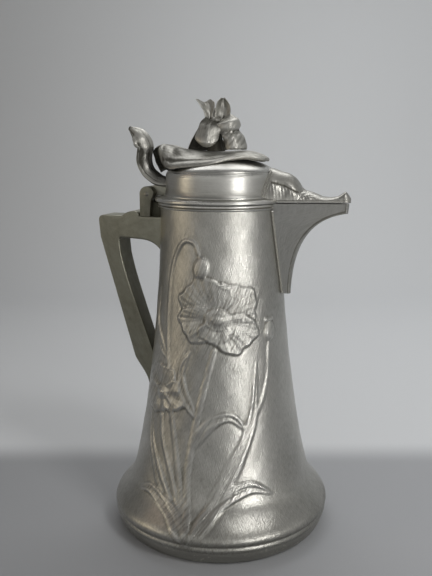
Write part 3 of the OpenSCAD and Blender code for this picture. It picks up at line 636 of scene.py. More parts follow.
# The handle: an arm straight out from the collar and a grip that slants back to the wall, cast as one flat bar
# with eased edges. A small scroll is moulded on the arm beside the hinge.
ARM_TOP, ARM_LOW, ARM_W, HANDLE_X = 256.0, 238.0, 25.0, 103.2
GRIP_TOP_W, GRIP_TAIL_W, TAIL_Z, TAIL_END = 24.0, 16.0, 136.0, 112.0
SCROLL_X, SCROLL_LEN, SCROLL_H = 66.5, 15.0, 4.5
ARM_ROOT, ARM_END = -46.0, -84.5
TAIL_X = -wall_r(TAIL_Z) - 17
grip_x = -HANDLE_X + 1
scroll = np.array([-SCROLL_X, ARM_TOP]) + bend(
    (0, 0), (0, 1.4 * SCROLL_H), (-0.7 * SCROLL_LEN, SCROLL_H), (-SCROLL_LEN, 0), count=24)
under = bend((-66, ARM_LOW - 1), (-58, ARM_LOW - 1.6), (-53, ARM_LOW - 3.4), (-MOUTH_R, ARM_LOW - 9), count=16)[::-1]
corner = np.array([-HANDLE_X, ARM_TOP]) + bend((4, 0), (1.5, 0), (0, -1.5), (0, -4), count=10)
tail = bend((TAIL_X, TAIL_Z), (TAIL_X + 3, TAIL_Z - 7), (TAIL_X + 11, TAIL_Z - 14.4),
            (-wall_r(TAIL_END) - 1.5, TAIL_END), count=24)
inside = bend((TAIL_X + 17.5, TAIL_Z + 4), ((TAIL_X + grip_x) / 2 + 15.5, (TAIL_Z + ARM_LOW) / 2),
              (grip_x + 15.5, ARM_LOW - 16), (grip_x + 17.5, ARM_LOW), count=60)[::-1]
outside_top = join([(ARM_ROOT, ARM_TOP)], scroll, corner[:1])
arm_x = join(np.linspace(ARM_ROOT - 0.8, -SCROLL_X + 0.02, 14), scroll[1:-1, 0],
             np.linspace(ARM_END + 2.5, ARM_END, 3))
rows_out = [(x, np.interp(-x, -outside_top[:, 0], outside_top[:, 1])) for x in arm_x]
under_all = join([(ARM_ROOT + 2, ARM_LOW - 9.2)], under, [(ARM_END - 1.5, ARM_LOW)])
rows_in = [(x, np.interp(-x, -under_all[:, 0], under_all[:, 1])) for x in arm_x]
turn_out = join(
    filled([(ARM_END - 1, ARM_TOP), corner[0]], 2.5)[:-1], corner,
    filled([(-HANDLE_X, ARM_TOP - 5), (grip_x, ARM_LOW), (grip_x + 0.117 * (TAIL_X - grip_x), ARM_LOW - 12)], 2.5))
nook = bend((ARM_END + 1.3, ARM_LOW - 0.3), (ARM_END - 0.4, ARM_LOW - 0.6), (ARM_END - 1.1, ARM_LOW - 2), inside[14],
            count=12)
nook = even(join([(ARM_END + 0.5, ARM_LOW - 0.2)], nook), len(turn_out))
grip_z = np.linspace(inside[15][1], TAIL_Z + 4.2, 60)
grip_out = spots(np.interp(grip_z, [TAIL_Z, ARM_LOW], [TAIL_X, grip_x]), grip_z)
grip_in = spots(np.interp(grip_z, inside[::-1, 1], inside[::-1, 0]), grip_z)
tail_in = spots(-wall_r(tail[:, 1]) + 3.5, tail[:, 1])
tail_in[:6, 0] = np.linspace(TAIL_X + 18.0, tail_in[6, 0], 6)
rows_out = join(rows_out, turn_out, grip_out, tail)
rows_in = join(rows_in, nook, grip_in, tail_in)
gone = np.cumsum(np.linalg.norm(np.gradient((rows_out + rows_in) / 2, axis=0), axis=1))
half_w = np.interp(gone, [0, gone[len(arm_x) // 2], gone[len(arm_x) + len(turn_out)], gone[-1]],
                   [ARM_W / 2, ARM_W / 2, 0.46 * GRIP_TOP_W, GRIP_TAIL_W / 2])


def bar_section(half_deep, half_wide, ease):
    """A flat bar's section with eased corners, as parts across its depth and its width."""
    quarter = np.radians(np.linspace(0, 90, 6))
    round_x = half_deep - ease + join([-0.5], ease * np.sin(quarter), [ease])
    round_y = half_wide - ease + join([ease], ease * np.cos(quarter), [-0.5])
    first = spots(round_x, -round_y)
    half = join(first, first[::-1] * (1, -1))
    return join(half, -half)


# Painted shade is laid on the bar's inner face and in the nook under the arm, where the grip faces the body.
rings, inner_painted_shade = [], []
for o, i, w in zip(rows_out, rows_in, half_w):
    deep = np.linalg.norm(o - i) / 2
    across = (o - i) / (2 * deep)
    section = bar_section(deep, w, 1.3)
    flat_x = (o + i)[0] / 2 + across[0] * section[:, 0]
    flat_z = (o + i)[1] / 2 + across[1] * section[:, 0]
    rings.append(spots(flat_x, section[:, 1], flat_z))
    inner_painted_shade.append(0.75 * (section[:, 0] < -deep + 0.4) * limit((-76 - i[0]) / 6 + (ARM_LOW - 2 - i[1]) / 4))
handle = Casting().surface(np.array(rings), around=True, hollow=np.array(inner_painted_shade))
handle_finish = pewter("handle_pewter", (0.385, 0.378, 0.308, 1), (0.12, 0.115, 0.085, 1), 0.42,
                       (240, 90, 1), turn=12, cut=0.45, tarnish=0.7)
handle.piece("handle", handle_finish, "flagon", "dull_pewter", "handle_arm", "handle_grip", crease=32)

# The hinge post: two cheeks on a block at the root of the arm, filed from one casting. Their round heads are
# the outer knuckles, and the lid's own knuckle turns between them.
HINGE_X, HINGE_Z, PIN_R, KNUCKLE_R = 59.3, 274.0, 2.0, 6.2
MIDDLE_W, KNUCKLE_GAP = 10.8, 0.3
SLOT_HALF = MIDDLE_W / 2 + KNUCKLE_GAP


def slab(outline, low_y, high_y, ease, shade=0.0):
    """A plate with this side view between two places across, its edges eased and its skin so far darkened."""
    bm = bmesh.new()
    ring = [bm.verts.new((x * 0.001, low_y * 0.001, z * 0.001)) for x, z in outline]
    face = bm.faces.new(ring)
    moved = bmesh.ops.extrude_face_region(bm, geom=[face])["geom"]
    bmesh.ops.translate(bm, vec=(0, (high_y - low_y) * 0.001, 0),
                        verts=[g for g in moved if isinstance(g, bmesh.types.BMVert)])
    bmesh.ops.recalc_face_normals(bm, faces=bm.faces)
    sharp = [e for e in bm.edges if len(e.link_faces) == 2 and e.calc_face_angle() > math.radians(32)]
    bmesh.ops.bevel(bm, geom=sharp, offset=ease * 0.001, segments=3, profile=0.5, affect="EDGES")
    layer = bm.verts.layers.float.new("hollow")
    for vert in bm.verts:
        vert[layer] = shade
    return bm


def cut_piece(parts, name, finish, body, slot, *nodes):
    """Joins plates into one piece, with its surface laid out across each face."""
    whole = bmesh.new()
    for bm in parts:
        part = bpy.data.meshes.new("part")
        bm.to_mesh(part)
        bm.free()
        whole.from_mesh(part)
        bpy.data.meshes.remove(part)
    layer = whole.loops.layers.uv.new("surface")
    for face in whole.faces:
        flat = max(range(3), key=lambda k: abs(face.normal[k]))
        keep = [k for k in (0, 1, 2) if k != flat]
        for loop in face.loops:
            loop[layer].uv = (loop.vert.co[keep[0]], loop.vert.co[keep[1]])
    mesh = bpy.data.meshes.new(name)
    whole.to_mesh(mesh)
    whole.free()
    put_in_place(mesh, name, finish, body, nodes, crease=28)


def arc(centre, radius, start, end, count):
    """Points along part of a circle, between two bearings in degrees."""
    a = np.radians(np.linspace(start, end, count))
    return spots(centre[0] + radius * np.cos(a), centre[1] + radius * np.sin(a))


back, front = -HINGE_X - KNUCKLE_R, -HINGE_X + 2.5
head = arc((-HINGE_X, HINGE_Z), KNUCKLE_R, 0, 180, 24)
cheek = [(back, ARM_TOP - 0.4), (front, ARM_TOP - 0.4), (front + 1.2, HINGE_Z - 5.6)] + head.tolist()
block = [(back + 0.3, ARM_TOP - 0.4), (-wall_r(ARM_TOP), ARM_TOP - 0.4), (-wall_r(ARM_TOP), MOUTH_Z - 2.4),
         (front, HINGE_Z - KNUCKLE_R - 0.4), (back + 0.3, HINGE_Z - KNUCKLE_R - 0.4)]
# The block between the cheeks is painted fully dark: painted shade for the shadowed slot between the cheeks and the
# wall. The cheeks are darkened a little all over.
CHEEK_DARK, BLOCK_PAINTED_SHADE = 0.22, 1.0
cut_piece([slab(cheek, -ARM_W / 2, -SLOT_HALF, 0.7, CHEEK_DARK), slab(cheek, SLOT_HALF, ARM_W / 2, 0.7, CHEEK_DARK),
           slab(block, -SLOT_HALF - 1, SLOT_HALF + 1, 0.2, BLOCK_PAINTED_SHADE)],
          "hinge_cheeks", handle_finish, "flagon", "dull_pewter", "hinge_post")

# The hinge pin: a piece of drawn wire pushed through all three knuckles, with both ends riveted over to shallow
# heads against the cheeks.
PIN_HALF = (ARM_W + 1) / 2
pin_line = np.array([(0.02, PIN_HALF), (0.9, PIN_HALF - 0.06), (1.6, PIN_HALF - 0.3), (PIN_R, PIN_HALF - 0.5)])
pin_line = join(pin_line * (1, -1), filled([(PIN_R, -PIN_HALF + 1), (PIN_R, PIN_HALF - 1)], 3), pin_line[::-1])
pin = turned(pin_line, 40)
pin = spots(pin[..., 0] - HINGE_X, -pin[..., 2], pin[..., 1] + HINGE_Z)
pin_finish = pewter("pin_metal", (0.27, 0.262, 0.23, 1), (0.13, 0.12, 0.095, 1), 0.36,
                    (80, 900, 1), cut=0.4, tarnish=0.6)
Casting().surface(pin, around=True).piece("hinge_rivet", pin_finish, "flagon", "pin_metal", "hinge_pin")

# The lid's flange: a cast ring, turned to a rounded edge, which closes on the collar. A step on top of it carries
# the drum, which is soldered there.
LID_Z, FLANGE_R, FLANGE_T, DRUM_R, LID_WALL = 269.3, 52.6, 4.0, 44.0, 2.2
FLANGE_Z, DRUM_IN = LID_Z + FLANGE_T, DRUM_R - LID_WALL
flange_edge = np.array([FLANGE_R, LID_Z])
flange_line = join(
    filled([(DRUM_IN, LID_Z), (FLANGE_R - 1.2, LID_Z)], 1.0),
    flange_edge + bend((-1.0, 0), (-0.2, 0), (0, 0.3), (0, 1), count=7),
    flange_edge + bend((0, 1.4), (0, 2.4), (-0.4, 2.9), (-1.4, 3.0), count=9),
    bend((FLANGE_R - 1.8, LID_Z + 3.0), (FLANGE_R - 4, LID_Z + 3.05), (DRUM_R + 3, FLANGE_Z - 0.5),
         (DRUM_R + 1.6, FLANGE_Z), count=12),
    filled([(DRUM_R + 1.0, FLANGE_Z), (DRUM_IN, FLANGE_Z), (DRUM_IN, LID_Z + 0.8)], 1.0))
turning(flange_line, 220).piece("lid_rim", smooth_finish, "lid", "smooth_pewter", "lid_flange")

# The lid's drum: a turned band of pewter soldered on the flange, with a cove at its foot and a rounded shoulder
# above, where the dome is set in.
DRUM_H = 18.5
DRUM_TOP = FLANGE_Z + DRUM_H
drum_line = join(
    [(DRUM_IN, FLANGE_Z), (DRUM_R + 1.7, FLANGE_Z)],
    np.array([DRUM_R, FLANGE_Z]) + bend((1.7, 0.6), (0.8, 1.0), (0.2, 2.6), (0, 5), count=12),
    filled([(DRUM_R - 0.02, FLANGE_Z + 5.6), (DRUM_R - 0.1, DRUM_TOP - 4.6)], 1.2),
    np.array([DRUM_R, DRUM_TOP]) + bend((-0.12, -4.0), (-0.14, -1.6), (-0.5, -0.4), (-1.3, 0.3), count=12),
    filled([(DRUM_R - 1.8, DRUM_TOP), (DRUM_IN, DRUM_TOP), (DRUM_IN, FLANGE_Z + 1)], 1.5))
turning(drum_line, 220).piece("lid_band", smooth_finish, "lid", "smooth_pewter", "lid_drum")

# The dome: a spun cap over the drum, with a seat raised in it for the leaf and the flower. The spigot of the
# flower goes through it and is riveted inside.
DOME_RISE, FLOWER_X, SEAT_R = 12.0, -4.0, 8.0
DOME_TOP = DRUM_TOP + DOME_RISE
LEAF_TOP, LEAF_T = DOME_TOP + 4.5, 2.4
dome_over = bend((DRUM_R - 1.4, DRUM_TOP + 0.2), (DRUM_R - 2.8, DRUM_TOP + 0.5 * DOME_RISE),
                 (0.5 * DRUM_R, DOME_TOP - 0.4), (0.05, DOME_TOP), count=50)
dome_under = dome_over[::-2] * (1 - LID_WALL / DRUM_R, 1) - (0, LID_WALL)
dome_under = join(dome_under[dome_under[:, 1] > DRUM_TOP], [(DRUM_IN, DRUM_TOP)])
seat_line = [(SEAT_R, DOME_TOP - 1.2), (SEAT_R, LEAF_TOP - LEAF_T - 0.7), (SEAT_R - 0.5, LEAF_TOP - LEAF_T - 0.35),
             (3.2, LEAF_TOP - LEAF_T - 0.35)]
dome = Casting().surface(turned(join(dome_over, dome_under), 180), around=True)
dome.surface(turned(filled(seat_line, 0.8), 60) + (FLOWER_X, 0, 0), around=True)
dome.piece("lid_cap", smooth_finish, "lid", "smooth_pewter", "lid_dome")

# The bezel: a ring bent from pewter strip and soldered under the flange. It hangs in the mouth and centres the
# lid as it closes.
BEZEL_R, BEZEL_T, BEZEL_H = MOUTH_R - WALL - 0.9, 1.6, 5.0
bezel_line = filled([(BEZEL_R - BEZEL_T, LID_Z - BEZEL_H), (BEZEL_R - 0.6, LID_Z - BEZEL_H),
                     (BEZEL_R, LID_Z - BEZEL_H + 0.7), (BEZEL_R, LID_Z - 0.02), (BEZEL_R - BEZEL_T, LID_Z - 0.02),
                     (BEZEL_R - BEZEL_T, LID_Z - BEZEL_H + 0.2)], 0.8)
turning(bezel_line, 180).piece("lid_guide", spun_finish, "lid", "smooth_pewter", "lid_bezel")

# The lug: a cast tongue soldered to the drum. It runs out over the flange and ends in the middle knuckle of the
# hinge, between the two cheeks.
lug_head = arc((-HINGE_X, HINGE_Z), KNUCKLE_R - 0.02, 100, 318, 26)
lug_side = [(-DRUM_R + 0.6, FLANGE_Z - 0.3), (-DRUM_R + 0.6, HINGE_Z + KNUCKLE_R + 2.4)] + lug_head.tolist() \
    + [(-FLANGE_R - 0.5, FLANGE_Z - 0.6)]
lug_finish = pewter("lug_pewter", (0.44, 0.432, 0.365, 1), (0.12, 0.115, 0.088, 1), 0.4, (240, 240, 1), cut=0.4,
                    tarnish=0.6)
cut_piece([slab(lug_side, -MIDDLE_W / 2, MIDDLE_W / 2, 0.5)],
          "lid_tongue", lug_finish, "lid", "smooth_pewter", "lid_lug")

# The thumbpiece: a leaf cast on its own and soldered over the lug. It rises on a narrow neck, widens, and curls
# back at its tip, with raised veins down its face.
THUMB_H, THUMB_W, THUMB_T, THUMB_ROWS = 54.5, 23.0, 5.0, 96
thumb_keys = np.array([
    [0.30, 0.185, 0.85, 1.2, 3.4], [0.165, 0.215, 0.96, 1.2, 4.0], [0.045, 0.31, 0.90, 1.1, 5.0],
    [0.0, 0.39, 0.80, 1.0, 6.2], [-0.02, 0.483, 0.72, 1.0, 7.4], [-0.01, 0.58, 0.76, 0.95, 7.8],
    [0.018, 0.673, 0.87, 0.9, 8.2], [0.005, 0.76, 0.97, 0.85, 9.0], [-0.04, 0.845, 1.0, 0.75, 9.2],
    [-0.13, 0.925, 0.76, 0.6, 7.6], [-0.30, 0.97, 0.2, 0.4, 2.0]])


def cast_sheet(middle, half_thick, shade=0.0):
    """A thin casting: both faces of a grid of points, rounded over at the sides and closed at the ends, with any
    painted shade given added to its hollow mark.
    """
    face = half_thick[..., None] * facing(middle)
    loop = np.hstack([middle + face, (middle - face)[:, ::-1]])
    shade = np.broadcast_to(shade, loop.shape[:2])
    casting = Casting().surface(loop, around=True, hollow=np.clip(hollows(loop, True) + shade, -1, 1))
    n = middle.shape[1]
    for row in (0, -1):
        ends = np.stack([loop[row, :n], loop[row, n:][::-1]])
        casting.surface(ends, flip=row == 0, hollow=np.full((2, n), shade[row].mean()))
    return casting


def over_sheet(rows, cols):
    """Places along a casting from 0 to 1, and across it from -1 to 1, closer together at its sides."""
    return np.linspace(0, 1, rows)[:, None], -np.cos(np.linspace(0, np.pi, cols))[None, :]


def thinned(part):
    """How much of its thickness a casting keeps towards an edge."""
    return np.sqrt(np.clip(1 - part, 0.02, 1))


s, v = over_sheet(THUMB_ROWS, 49)
thumb = through(thumb_keys * (THUMB_H, THUMB_H, 1, 1, 1), THUMB_ROWS)
thumb_mid = thumb[:, :2] + np.hstack([-HINGE_X - 2.2 * s ** 0.5, HINGE_Z + 0 * s])
way = unit(np.gradient(thumb_mid, axis=0))
veins = 0.5 * hump(v, 0.1) + 0.3 * hump(abs(v) - 0.45 - 0.2 * s, 0.09) \
    - 0.3 * hump(abs(v) - 0.22 - 0.1 * s, 0.1) \
    + 0.5 * hump(abs(v) - 0.93, 0.06) - 0.3 * hump(abs(v) - 0.78, 0.09)
edge_wave = 0.6 * np.sin(s * 24 + np.sign(v) * 0.9) * abs(v) ** 4 * limit((s - 0.3) * 4)
lift = thumb[:, 4:5] * v * v - veins * 0.8 * limit(s * 6) * limit((1 - s) * 8) + edge_wave
thumb_sheet = spots(thumb_mid[:, :1] - lift * way[:, 1:], 0.5 * THUMB_W * thumb[:, 2:3] * v,
                    thumb_mid[:, 1:] + lift * way[:, :1])
thumb_thick = 0.5 * THUMB_T * thumb[:, 3:4] * thinned(0.9 * abs(v) ** 3)
ornament_finish = pewter("ornament_pewter", (0.52, 0.51, 0.47, 1), (0.075, 0.071, 0.057, 1), 0.49,
                         (900, 150, 1), cut=0.7, tarnish=0.8)
# Painted shade along the thumbpiece: darkest about halfway up at its waist, light near the top, and darker again at
# the curled tip.
thumb_painted_shade = np.interp(s, [0.1, 0.3, 0.5, 0.62, 0.8, 1], [0, 0.3, 0.65, 0.5, 0.1, 0.45])
cast_sheet(thumb_sheet, thumb_thick, thumb_painted_shade).piece(
    "thumb_leaf", ornament_finish, "lid", "cast_pewter", "thumbpiece", crease=60)

# The cover of the spout: a hollow casting soldered to the drum. Two leaves lie over each other on its back, a
# plain rim closes on the beak, and its tip turns up to a small lip.
COVER_OVER, COVER_EDGE, COVER_WALL = 1.2, 2.4, 1.8
COVER_TIP = REACH + COVER_OVER
cover_ridge = np.array([
    [-0.16, 26.2], [-0.03, 25.4], [0.08, 23.2], [0.18, 21.6], [0.26, 18.9], [0.31, 15.6], [0.355, 11.6], [0.42, 9.7],
    [0.5, 8.1], [0.59, 6.2], [0.65, 4.9], [0.76, 4.7], [0.84, 5.6], [0.89, 7.6], [0.925, 8.8], [0.955, 7.6],
    [0.985, 5.2], [1, 3.6]])
ridge_line = through(cover_ridge * (COVER_TIP - DRUM_R, 1), 260)


def cover_half(x):
    """Half the width of the cover at a distance from the flagon's axis."""
    nose = KEEL_HALF + COVER_OVER
    xn, xs = COVER_TIP - nose, math.sqrt(MOUTH_R ** 2 - SPOUT_HALF ** 2)
    straight = nose + (SPOUT_HALF - KEEL_HALF) * (xn - x) / (xn - xs)
    return np.where(x < xn, straight, np.sqrt(np.clip(nose ** 2 - (x - xn) ** 2, 0.3, None)))


def cover_grid(inset, places):
    """The cover's skin at places along it, drawn in by an inset, with the shade painted on it. Only its outside is
    folded and shaded.
    """
    x = DRUM_R + (COVER_TIP - DRUM_R) * places[:, None]
    ridge = np.interp(places * (COVER_TIP - DRUM_R), ridge_line[:, 0], ridge_line[:, 1])[:, None] - 1.3 * inset
    w = cover_half(x) - inset
    edge = np.minimum(COVER_EDGE, ridge - 0.4)
    a = np.radians(np.linspace(0, 180, 81))[None, :]
    q = np.cos(a)
    over = spots(x, w * q, LID_Z + edge + (ridge - edge) * np.sin(a) ** 1.3)
    low = spots(x, w, LID_Z + 0.5 + (edge - 0.5) * np.linspace(0, 0.93, 5)[None, :] ** 0.9)
    dark = np.zeros(over.shape[:2])
    if not inset:
        k = places[:, None]
        high = over[..., 2] - LID_Z
        fold = np.interp(k, [-0.2, 0.046, 0.17, 0.24, 0.307, 0.36, 0.42], [18.5, 16, 14.5, 12.2, 9.9, 9.2, 9.6])
        leaf_end = limit((0.41 - k) * 12)
        hood = step_up((high - fold) / 2.4 + 0.5) * leaf_end
        seat = hump(high - fold + 1.0, 0.75) * leaf_end
        beads = np.sin(x * 1.9 + 3 * q) * np.sin(q * 23 + x * 0.7) * (1 - hood) * limit((0.62 - k) * 6)
        swell = np.sin(x * 0.42 + 1.0) * (1 - hood) * limit((0.55 - k) * 5)
        raised = (0.6 * hood - 0.3 * seat + 0.16 * beads + 0.5 * swell) * limit(np.sin(a) * 3)
        over = over + facing(over) * raised[..., None]
        over[..., 2] = np.minimum(over[..., 2], DRUM_TOP + 3.4)
        # Painted shade: dark in the groove under the upper leaf, a little over the upper leaf, and along the edges
        # where the back meets the rim.
        dark = 0.55 * seat + 0.12 * hood
        dark[:, [0, -1]] = 0.5
        low[:, :, 1] += np.array([0, 0.25, 0.25, -0.1, -0.35])[None, :] * limit(w / 4)
    rim = np.zeros(low.shape[:2])
    return np.hstack([low, over, low[:, ::-1] * (1, -1, 1)]), np.hstack([rim, dark, rim])


cover = Casting()
cover_out, fold_painted_shade = cover_grid(0.0, join(np.linspace(-0.15, 0.9, 170), np.linspace(0.905, 1, 26)))
cover_in, _ = cover_grid(COVER_WALL, np.linspace(-0.15, 0.5, 50))
cover.surface(cover_out, flip=True, hollow=fold_painted_shade)
cover.surface(cover_in)
left_rim, right_rim = cover_out[:, 0], cover_out[:, -1]
closed, open_rim = slice(100, None), slice(30, 120)
cover.surface(np.stack([left_rim[closed], left_rim[closed] * (1, 0.0, 1), right_rim[closed]], axis=1))
cover.surface(np.stack([left_rim[open_rim], left_rim[open_rim] - (0, COVER_WALL, 0)], axis=1))
cover.surface(np.stack([right_rim[open_rim] + (0, COVER_WALL, 0), right_rim[open_rim]], axis=1))
cover_finish = pewter("cover_pewter", (0.57, 0.56, 0.52, 1), (0.105, 0.10, 0.082, 1), 0.39,
                      (400, 110, 1), turn=20, cut=0.5, tarnish=0.6)
cover.piece("beak_cover", cover_finish, "lid", "smooth_pewter", "spout_cover", crease=55)

# The strap: a cast band bent round the root of the cover, soldered over its joint with the drum. Two grooves run
# along it, so that it looks like three cords side by side.
STRAP_W, STRAP_T, STRAP_X, STRAP_LOW, STRAP_HIGH, RIDGE_H = 6.4, 1.6, 43.0, 3.6, 22.4, 24.2
arch_h = np.linspace(STRAP_LOW, STRAP_HIGH, 120)
climb = ((arch_h - COVER_EDGE) / (RIDGE_H - COVER_EDGE)) ** (1 / 1.3)
arch_y = cover_half(STRAP_X) * np.sqrt(1 - climb ** 2)
strap = Casting()
for mirror in (1, -1):
    path = spots(np.sqrt(DRUM_R ** 2 - arch_y ** 2), arch_y * mirror, LID_Z + arch_h)
    turn_a = np.linspace(0, 2 * np.pi, 48, endpoint=False)[None, :]
    outward = np.array([0.63, 0.75 * mirror, 0.2])
    aside = unit(np.cross(np.gradient(path, axis=0), outward))
    flare = (1.0 + 0.45 * np.exp(-np.linspace(0, 9, len(arch_h))))[:, None]
    cord = np.sign(np.cos(turn_a)) * abs(np.cos(turn_a)) ** 0.5 \
        * (0.8 + 0.34 * np.cos(3.2 * np.pi * np.sin(turn_a)))
    grid = (path + 0.8 * outward)[:, None] + (STRAP_T * 0.75 * cord)[..., None] * outward \
        + (STRAP_W * 0.5 * flare * np.sin(turn_a))[..., None] * aside[:, None]
    strap.surface(grid, around=True, hollow=np.broadcast_to(-0.6 * (cord - 0.75), grid.shape[:2]))
strap.piece("cover_cord", ornament_finish, "lid", "cast_pewter", "cover_strap")

# The leaf on the lid: a broad leaf cast to the dome's shape and held under the flower. Its front edge stands a
# little off the dome, and its end towards the handle rolls up to a hood.
LEAF_BACK, LEAF_FRONT, LEAF_HALF, LEAF_DROP, HOOD_UP = 50.5, 39.0, 38.0, 16.5, 5.0
leaf_width = np.array([[0, 0.44], [0.05, 0.60], [0.12, 0.76], [0.25, 0.94], [0.42, 1], [0.6, 0.86], [0.75, 0.64],
                       [0.87, 0.45], [0.95, 0.31], [1, 0.18]])
leaf_crest = np.array([[0, 0.55], [0.03, 0.95], [0.08, 1], [0.14, 0.85], [0.25, 0.32], [0.5, 0], [0.78, 0.0],
                       [0.9, -0.4], [1, -1.1]])
leaf_fall = np.array([[0, 0.98], [0.15, 1.0], [0.3, 0.76], [0.45, 0.58], [0.6, 0.48], [0.75, 0.32], [0.87, 0.15],
                      [1, 0.02]])


def eased(table, at):
    """Values of a table at the given places, on a smooth line."""
    fine = through(table, 200)
    return np.interp(at, fine[:, 0], fine[:, 1])


lu, lv = over_sheet(130, 111)
wave = 0.03 * np.sin(lu * 15 + np.sign(lv) * 1.2)
hood_end = np.where(lv < 0, 12 * abs(lv) ** 2.6,
                    np.interp(lv, [0, 0.25, 0.5, 0.75, 1], [0, -6.5, -10.5, -10, -7.5]))
leaf_x = -LEAF_BACK + (LEAF_BACK + LEAF_FRONT) * lu + hood_end * (1 - lu) ** 6 - 2 * lv ** 2 * lu ** 8
leaf_y = LEAF_HALF * eased(leaf_width, lu) * (1 + wave * abs(lv) ** 3) * lv
leaf_z = LEAF_TOP - 0.5 * LEAF_T + HOOD_UP * eased(leaf_crest, lu) \
    - LEAF_DROP * eased(leaf_fall, lu) * abs(lv) ** 2.2 - 4 * limit(lv) ** 2 * (1 - lu) ** 6
veins = -0.35 * hump(lv, 0.035) + 0.2 * hump(abs(lv) - 0.08, 0.035) \
    + 0.08 * np.cos((lu * 88 - abs(lv) * 26) * 0.5) * limit(abs(lv) * 6) * (1 - abs(lv) ** 4)
curl = -0.6 * hump(0.8 - abs(lv), 0.08) \
    + 0.6 * limit((abs(lv) - 0.6) / 0.4) ** 2 * np.sin(lu * 12 + np.sign(lv))
plain = limit((np.hypot(leaf_x - FLOWER_X, leaf_y) - 8) / 5)
leaf_mid = spots(leaf_x, leaf_y, leaf_z + (veins + curl) * plain)
roll = np.maximum(hump(0.93 - abs(lv), 0.09), hump(lu - 0.02, 0.03))
leaf_thick = 0.5 * LEAF_T * (1 + 0.55 * roll + 0.5 * limit((lu - 0.65) * 4)) \
    * thinned(abs(lv) ** 16) * thinned(lu ** 24)
# Painted shade inside the hood, on the leaf's underside; the top face is also darker towards the hood end.
hood_dark = np.hstack([limit(1.6 - lu * 5) * np.ones(lv.shape),
                       np.interp(lu, [0.1, 0.28, 0.55], [0.42, 0.34, 0]) * np.ones(lv.shape)])
cast_sheet(leaf_mid, leaf_thick, hood_dark).piece(
    "dome_leaf", ornament_finish, "lid", "cast_pewter", "lid_leaf", crease=60)

# The stem and heart of the flower: one casting, a waisted stalk with a spigot that goes down through
# the leaf and the dome, and a ribbed knob from which the petals spring.
HEART_Z, SPIGOT_R, STEM_RIBS = LEAF_TOP + 22.5, 3.0, 9
base_z, low_z = LEAF_TOP - 0.5, DOME_TOP - LID_WALL - 2.2
stem_line = join(
    filled([(0.05, low_z), (SPIGOT_R + 1, low_z), (SPIGOT_R + 1.5, low_z + 0.8), (SPIGOT_R + 1.5, low_z + 1.7),
            (SPIGOT_R, low_z + 1.75), (SPIGOT_R, base_z), (SEAT_R - 0.6, base_z)], 1.0),
    through([(SEAT_R - 0.6, base_z + 0.3), (6.6, base_z + 2.5), (5.4, base_z + 7), (4.6, base_z + 13.5),
             (5.6, HEART_Z - 2.5), (4.2, HEART_Z + 2.0), (0.05, HEART_Z + 4)], 40))
stem = turned(stem_line, 64)
stem_ribs = 1 + 0.05 * np.cos(np.arctan2(stem[..., 1], stem[..., 0]) * STEM_RIBS) * limit((stem[..., 2] - base_z) / 4)
stem = stem * spots(stem_ribs, stem_ribs, 1) + (FLOWER_X, 0, 0)
# Painted shade on the stalk below the heart, where it stands in among the petals.
stem_painted_shade = np.clip((HEART_Z + 2 - stem[..., 2]) / 4, 0, 0.7) * (stem[..., 2] > base_z)
Casting().surface(stem, around=True, hollow=stem_painted_shade).piece(
    "flower_stalk", ornament_finish, "lid", "cast_pewter", "flower_stem", "flower_heart")

# The petals: three that hang and three that stand, each cast thin with a raised midrib and a frilled edge, and
# soldered to the heart of the flower.
PETAL_T, PETAL_ROWS, PETAL_TOP, FLOWER_TURN = 1.8, 72, HEART_Z + 18.4, 17.0


def petal(name, rows, node, frill, seed, crown=0.0, bow=0.0, tilt=0.0, hatch=(16, 9), shade=((0, 1), (0, 0)),
          behind=1.0):
    """A petal through rows of three places: left, middle and right, each across and towards the broad side."""
    rows = through([(up, *left, *middle, *right) for up, left, middle, right in rows], PETAL_ROWS)
    s, v = over_sheet(PETAL_ROWS, 57)
    left, middle, right = rows[:, None, 1:3], rows[:, None, 3:5], rows[:, None, 5:7]
    flat = middle + v[..., None] * (right - left) / 2 + v[..., None] ** 2 * ((right + left) / 2 - middle)
    ruffle = frill * abs(v) ** 2.5 * np.sin(s * 13 + np.sign(v) * 1.7 + seed) * limit(s * 2 - 0.3) \
        + 0.3 * hump(v, 0.14) * (1 - 0.7 * s) \
        + 0.09 * np.cos(s * hatch[0] + v * hatch[1] + seed) * limit(s * 3)
    end = limit((s - 0.5) / 0.5) ** 2
    up = rows[:, :1] + end * (crown * np.cos(4.5 * (v + 1)) + bow * v * v) + tilt * v * (1 - s) ** 2
    c, n = cos_sin(FLOWER_TURN)
    x, y = flat[..., 0], flat[..., 1] + ruffle
    middle = spots(FLOWER_X + x * c + y * n, x * n - y * c, np.clip(LEAF_TOP + up, LEAF_TOP + 0.5, PETAL_TOP))
    thick = 0.5 * PETAL_T * (1 - 0.3 * s) * thinned(0.95 * v ** 6)
    # Painted shade, by height on the petal; behind sets how much of it also reaches the petal's other face.
    dark = np.interp(rows[:, :1], *shade) * np.ones(v.shape)
    cast_sheet(middle, thick, np.hstack([dark * behind, dark])).piece(
        name, ornament_finish, "lid", "cast_pewter", node, crease=70)


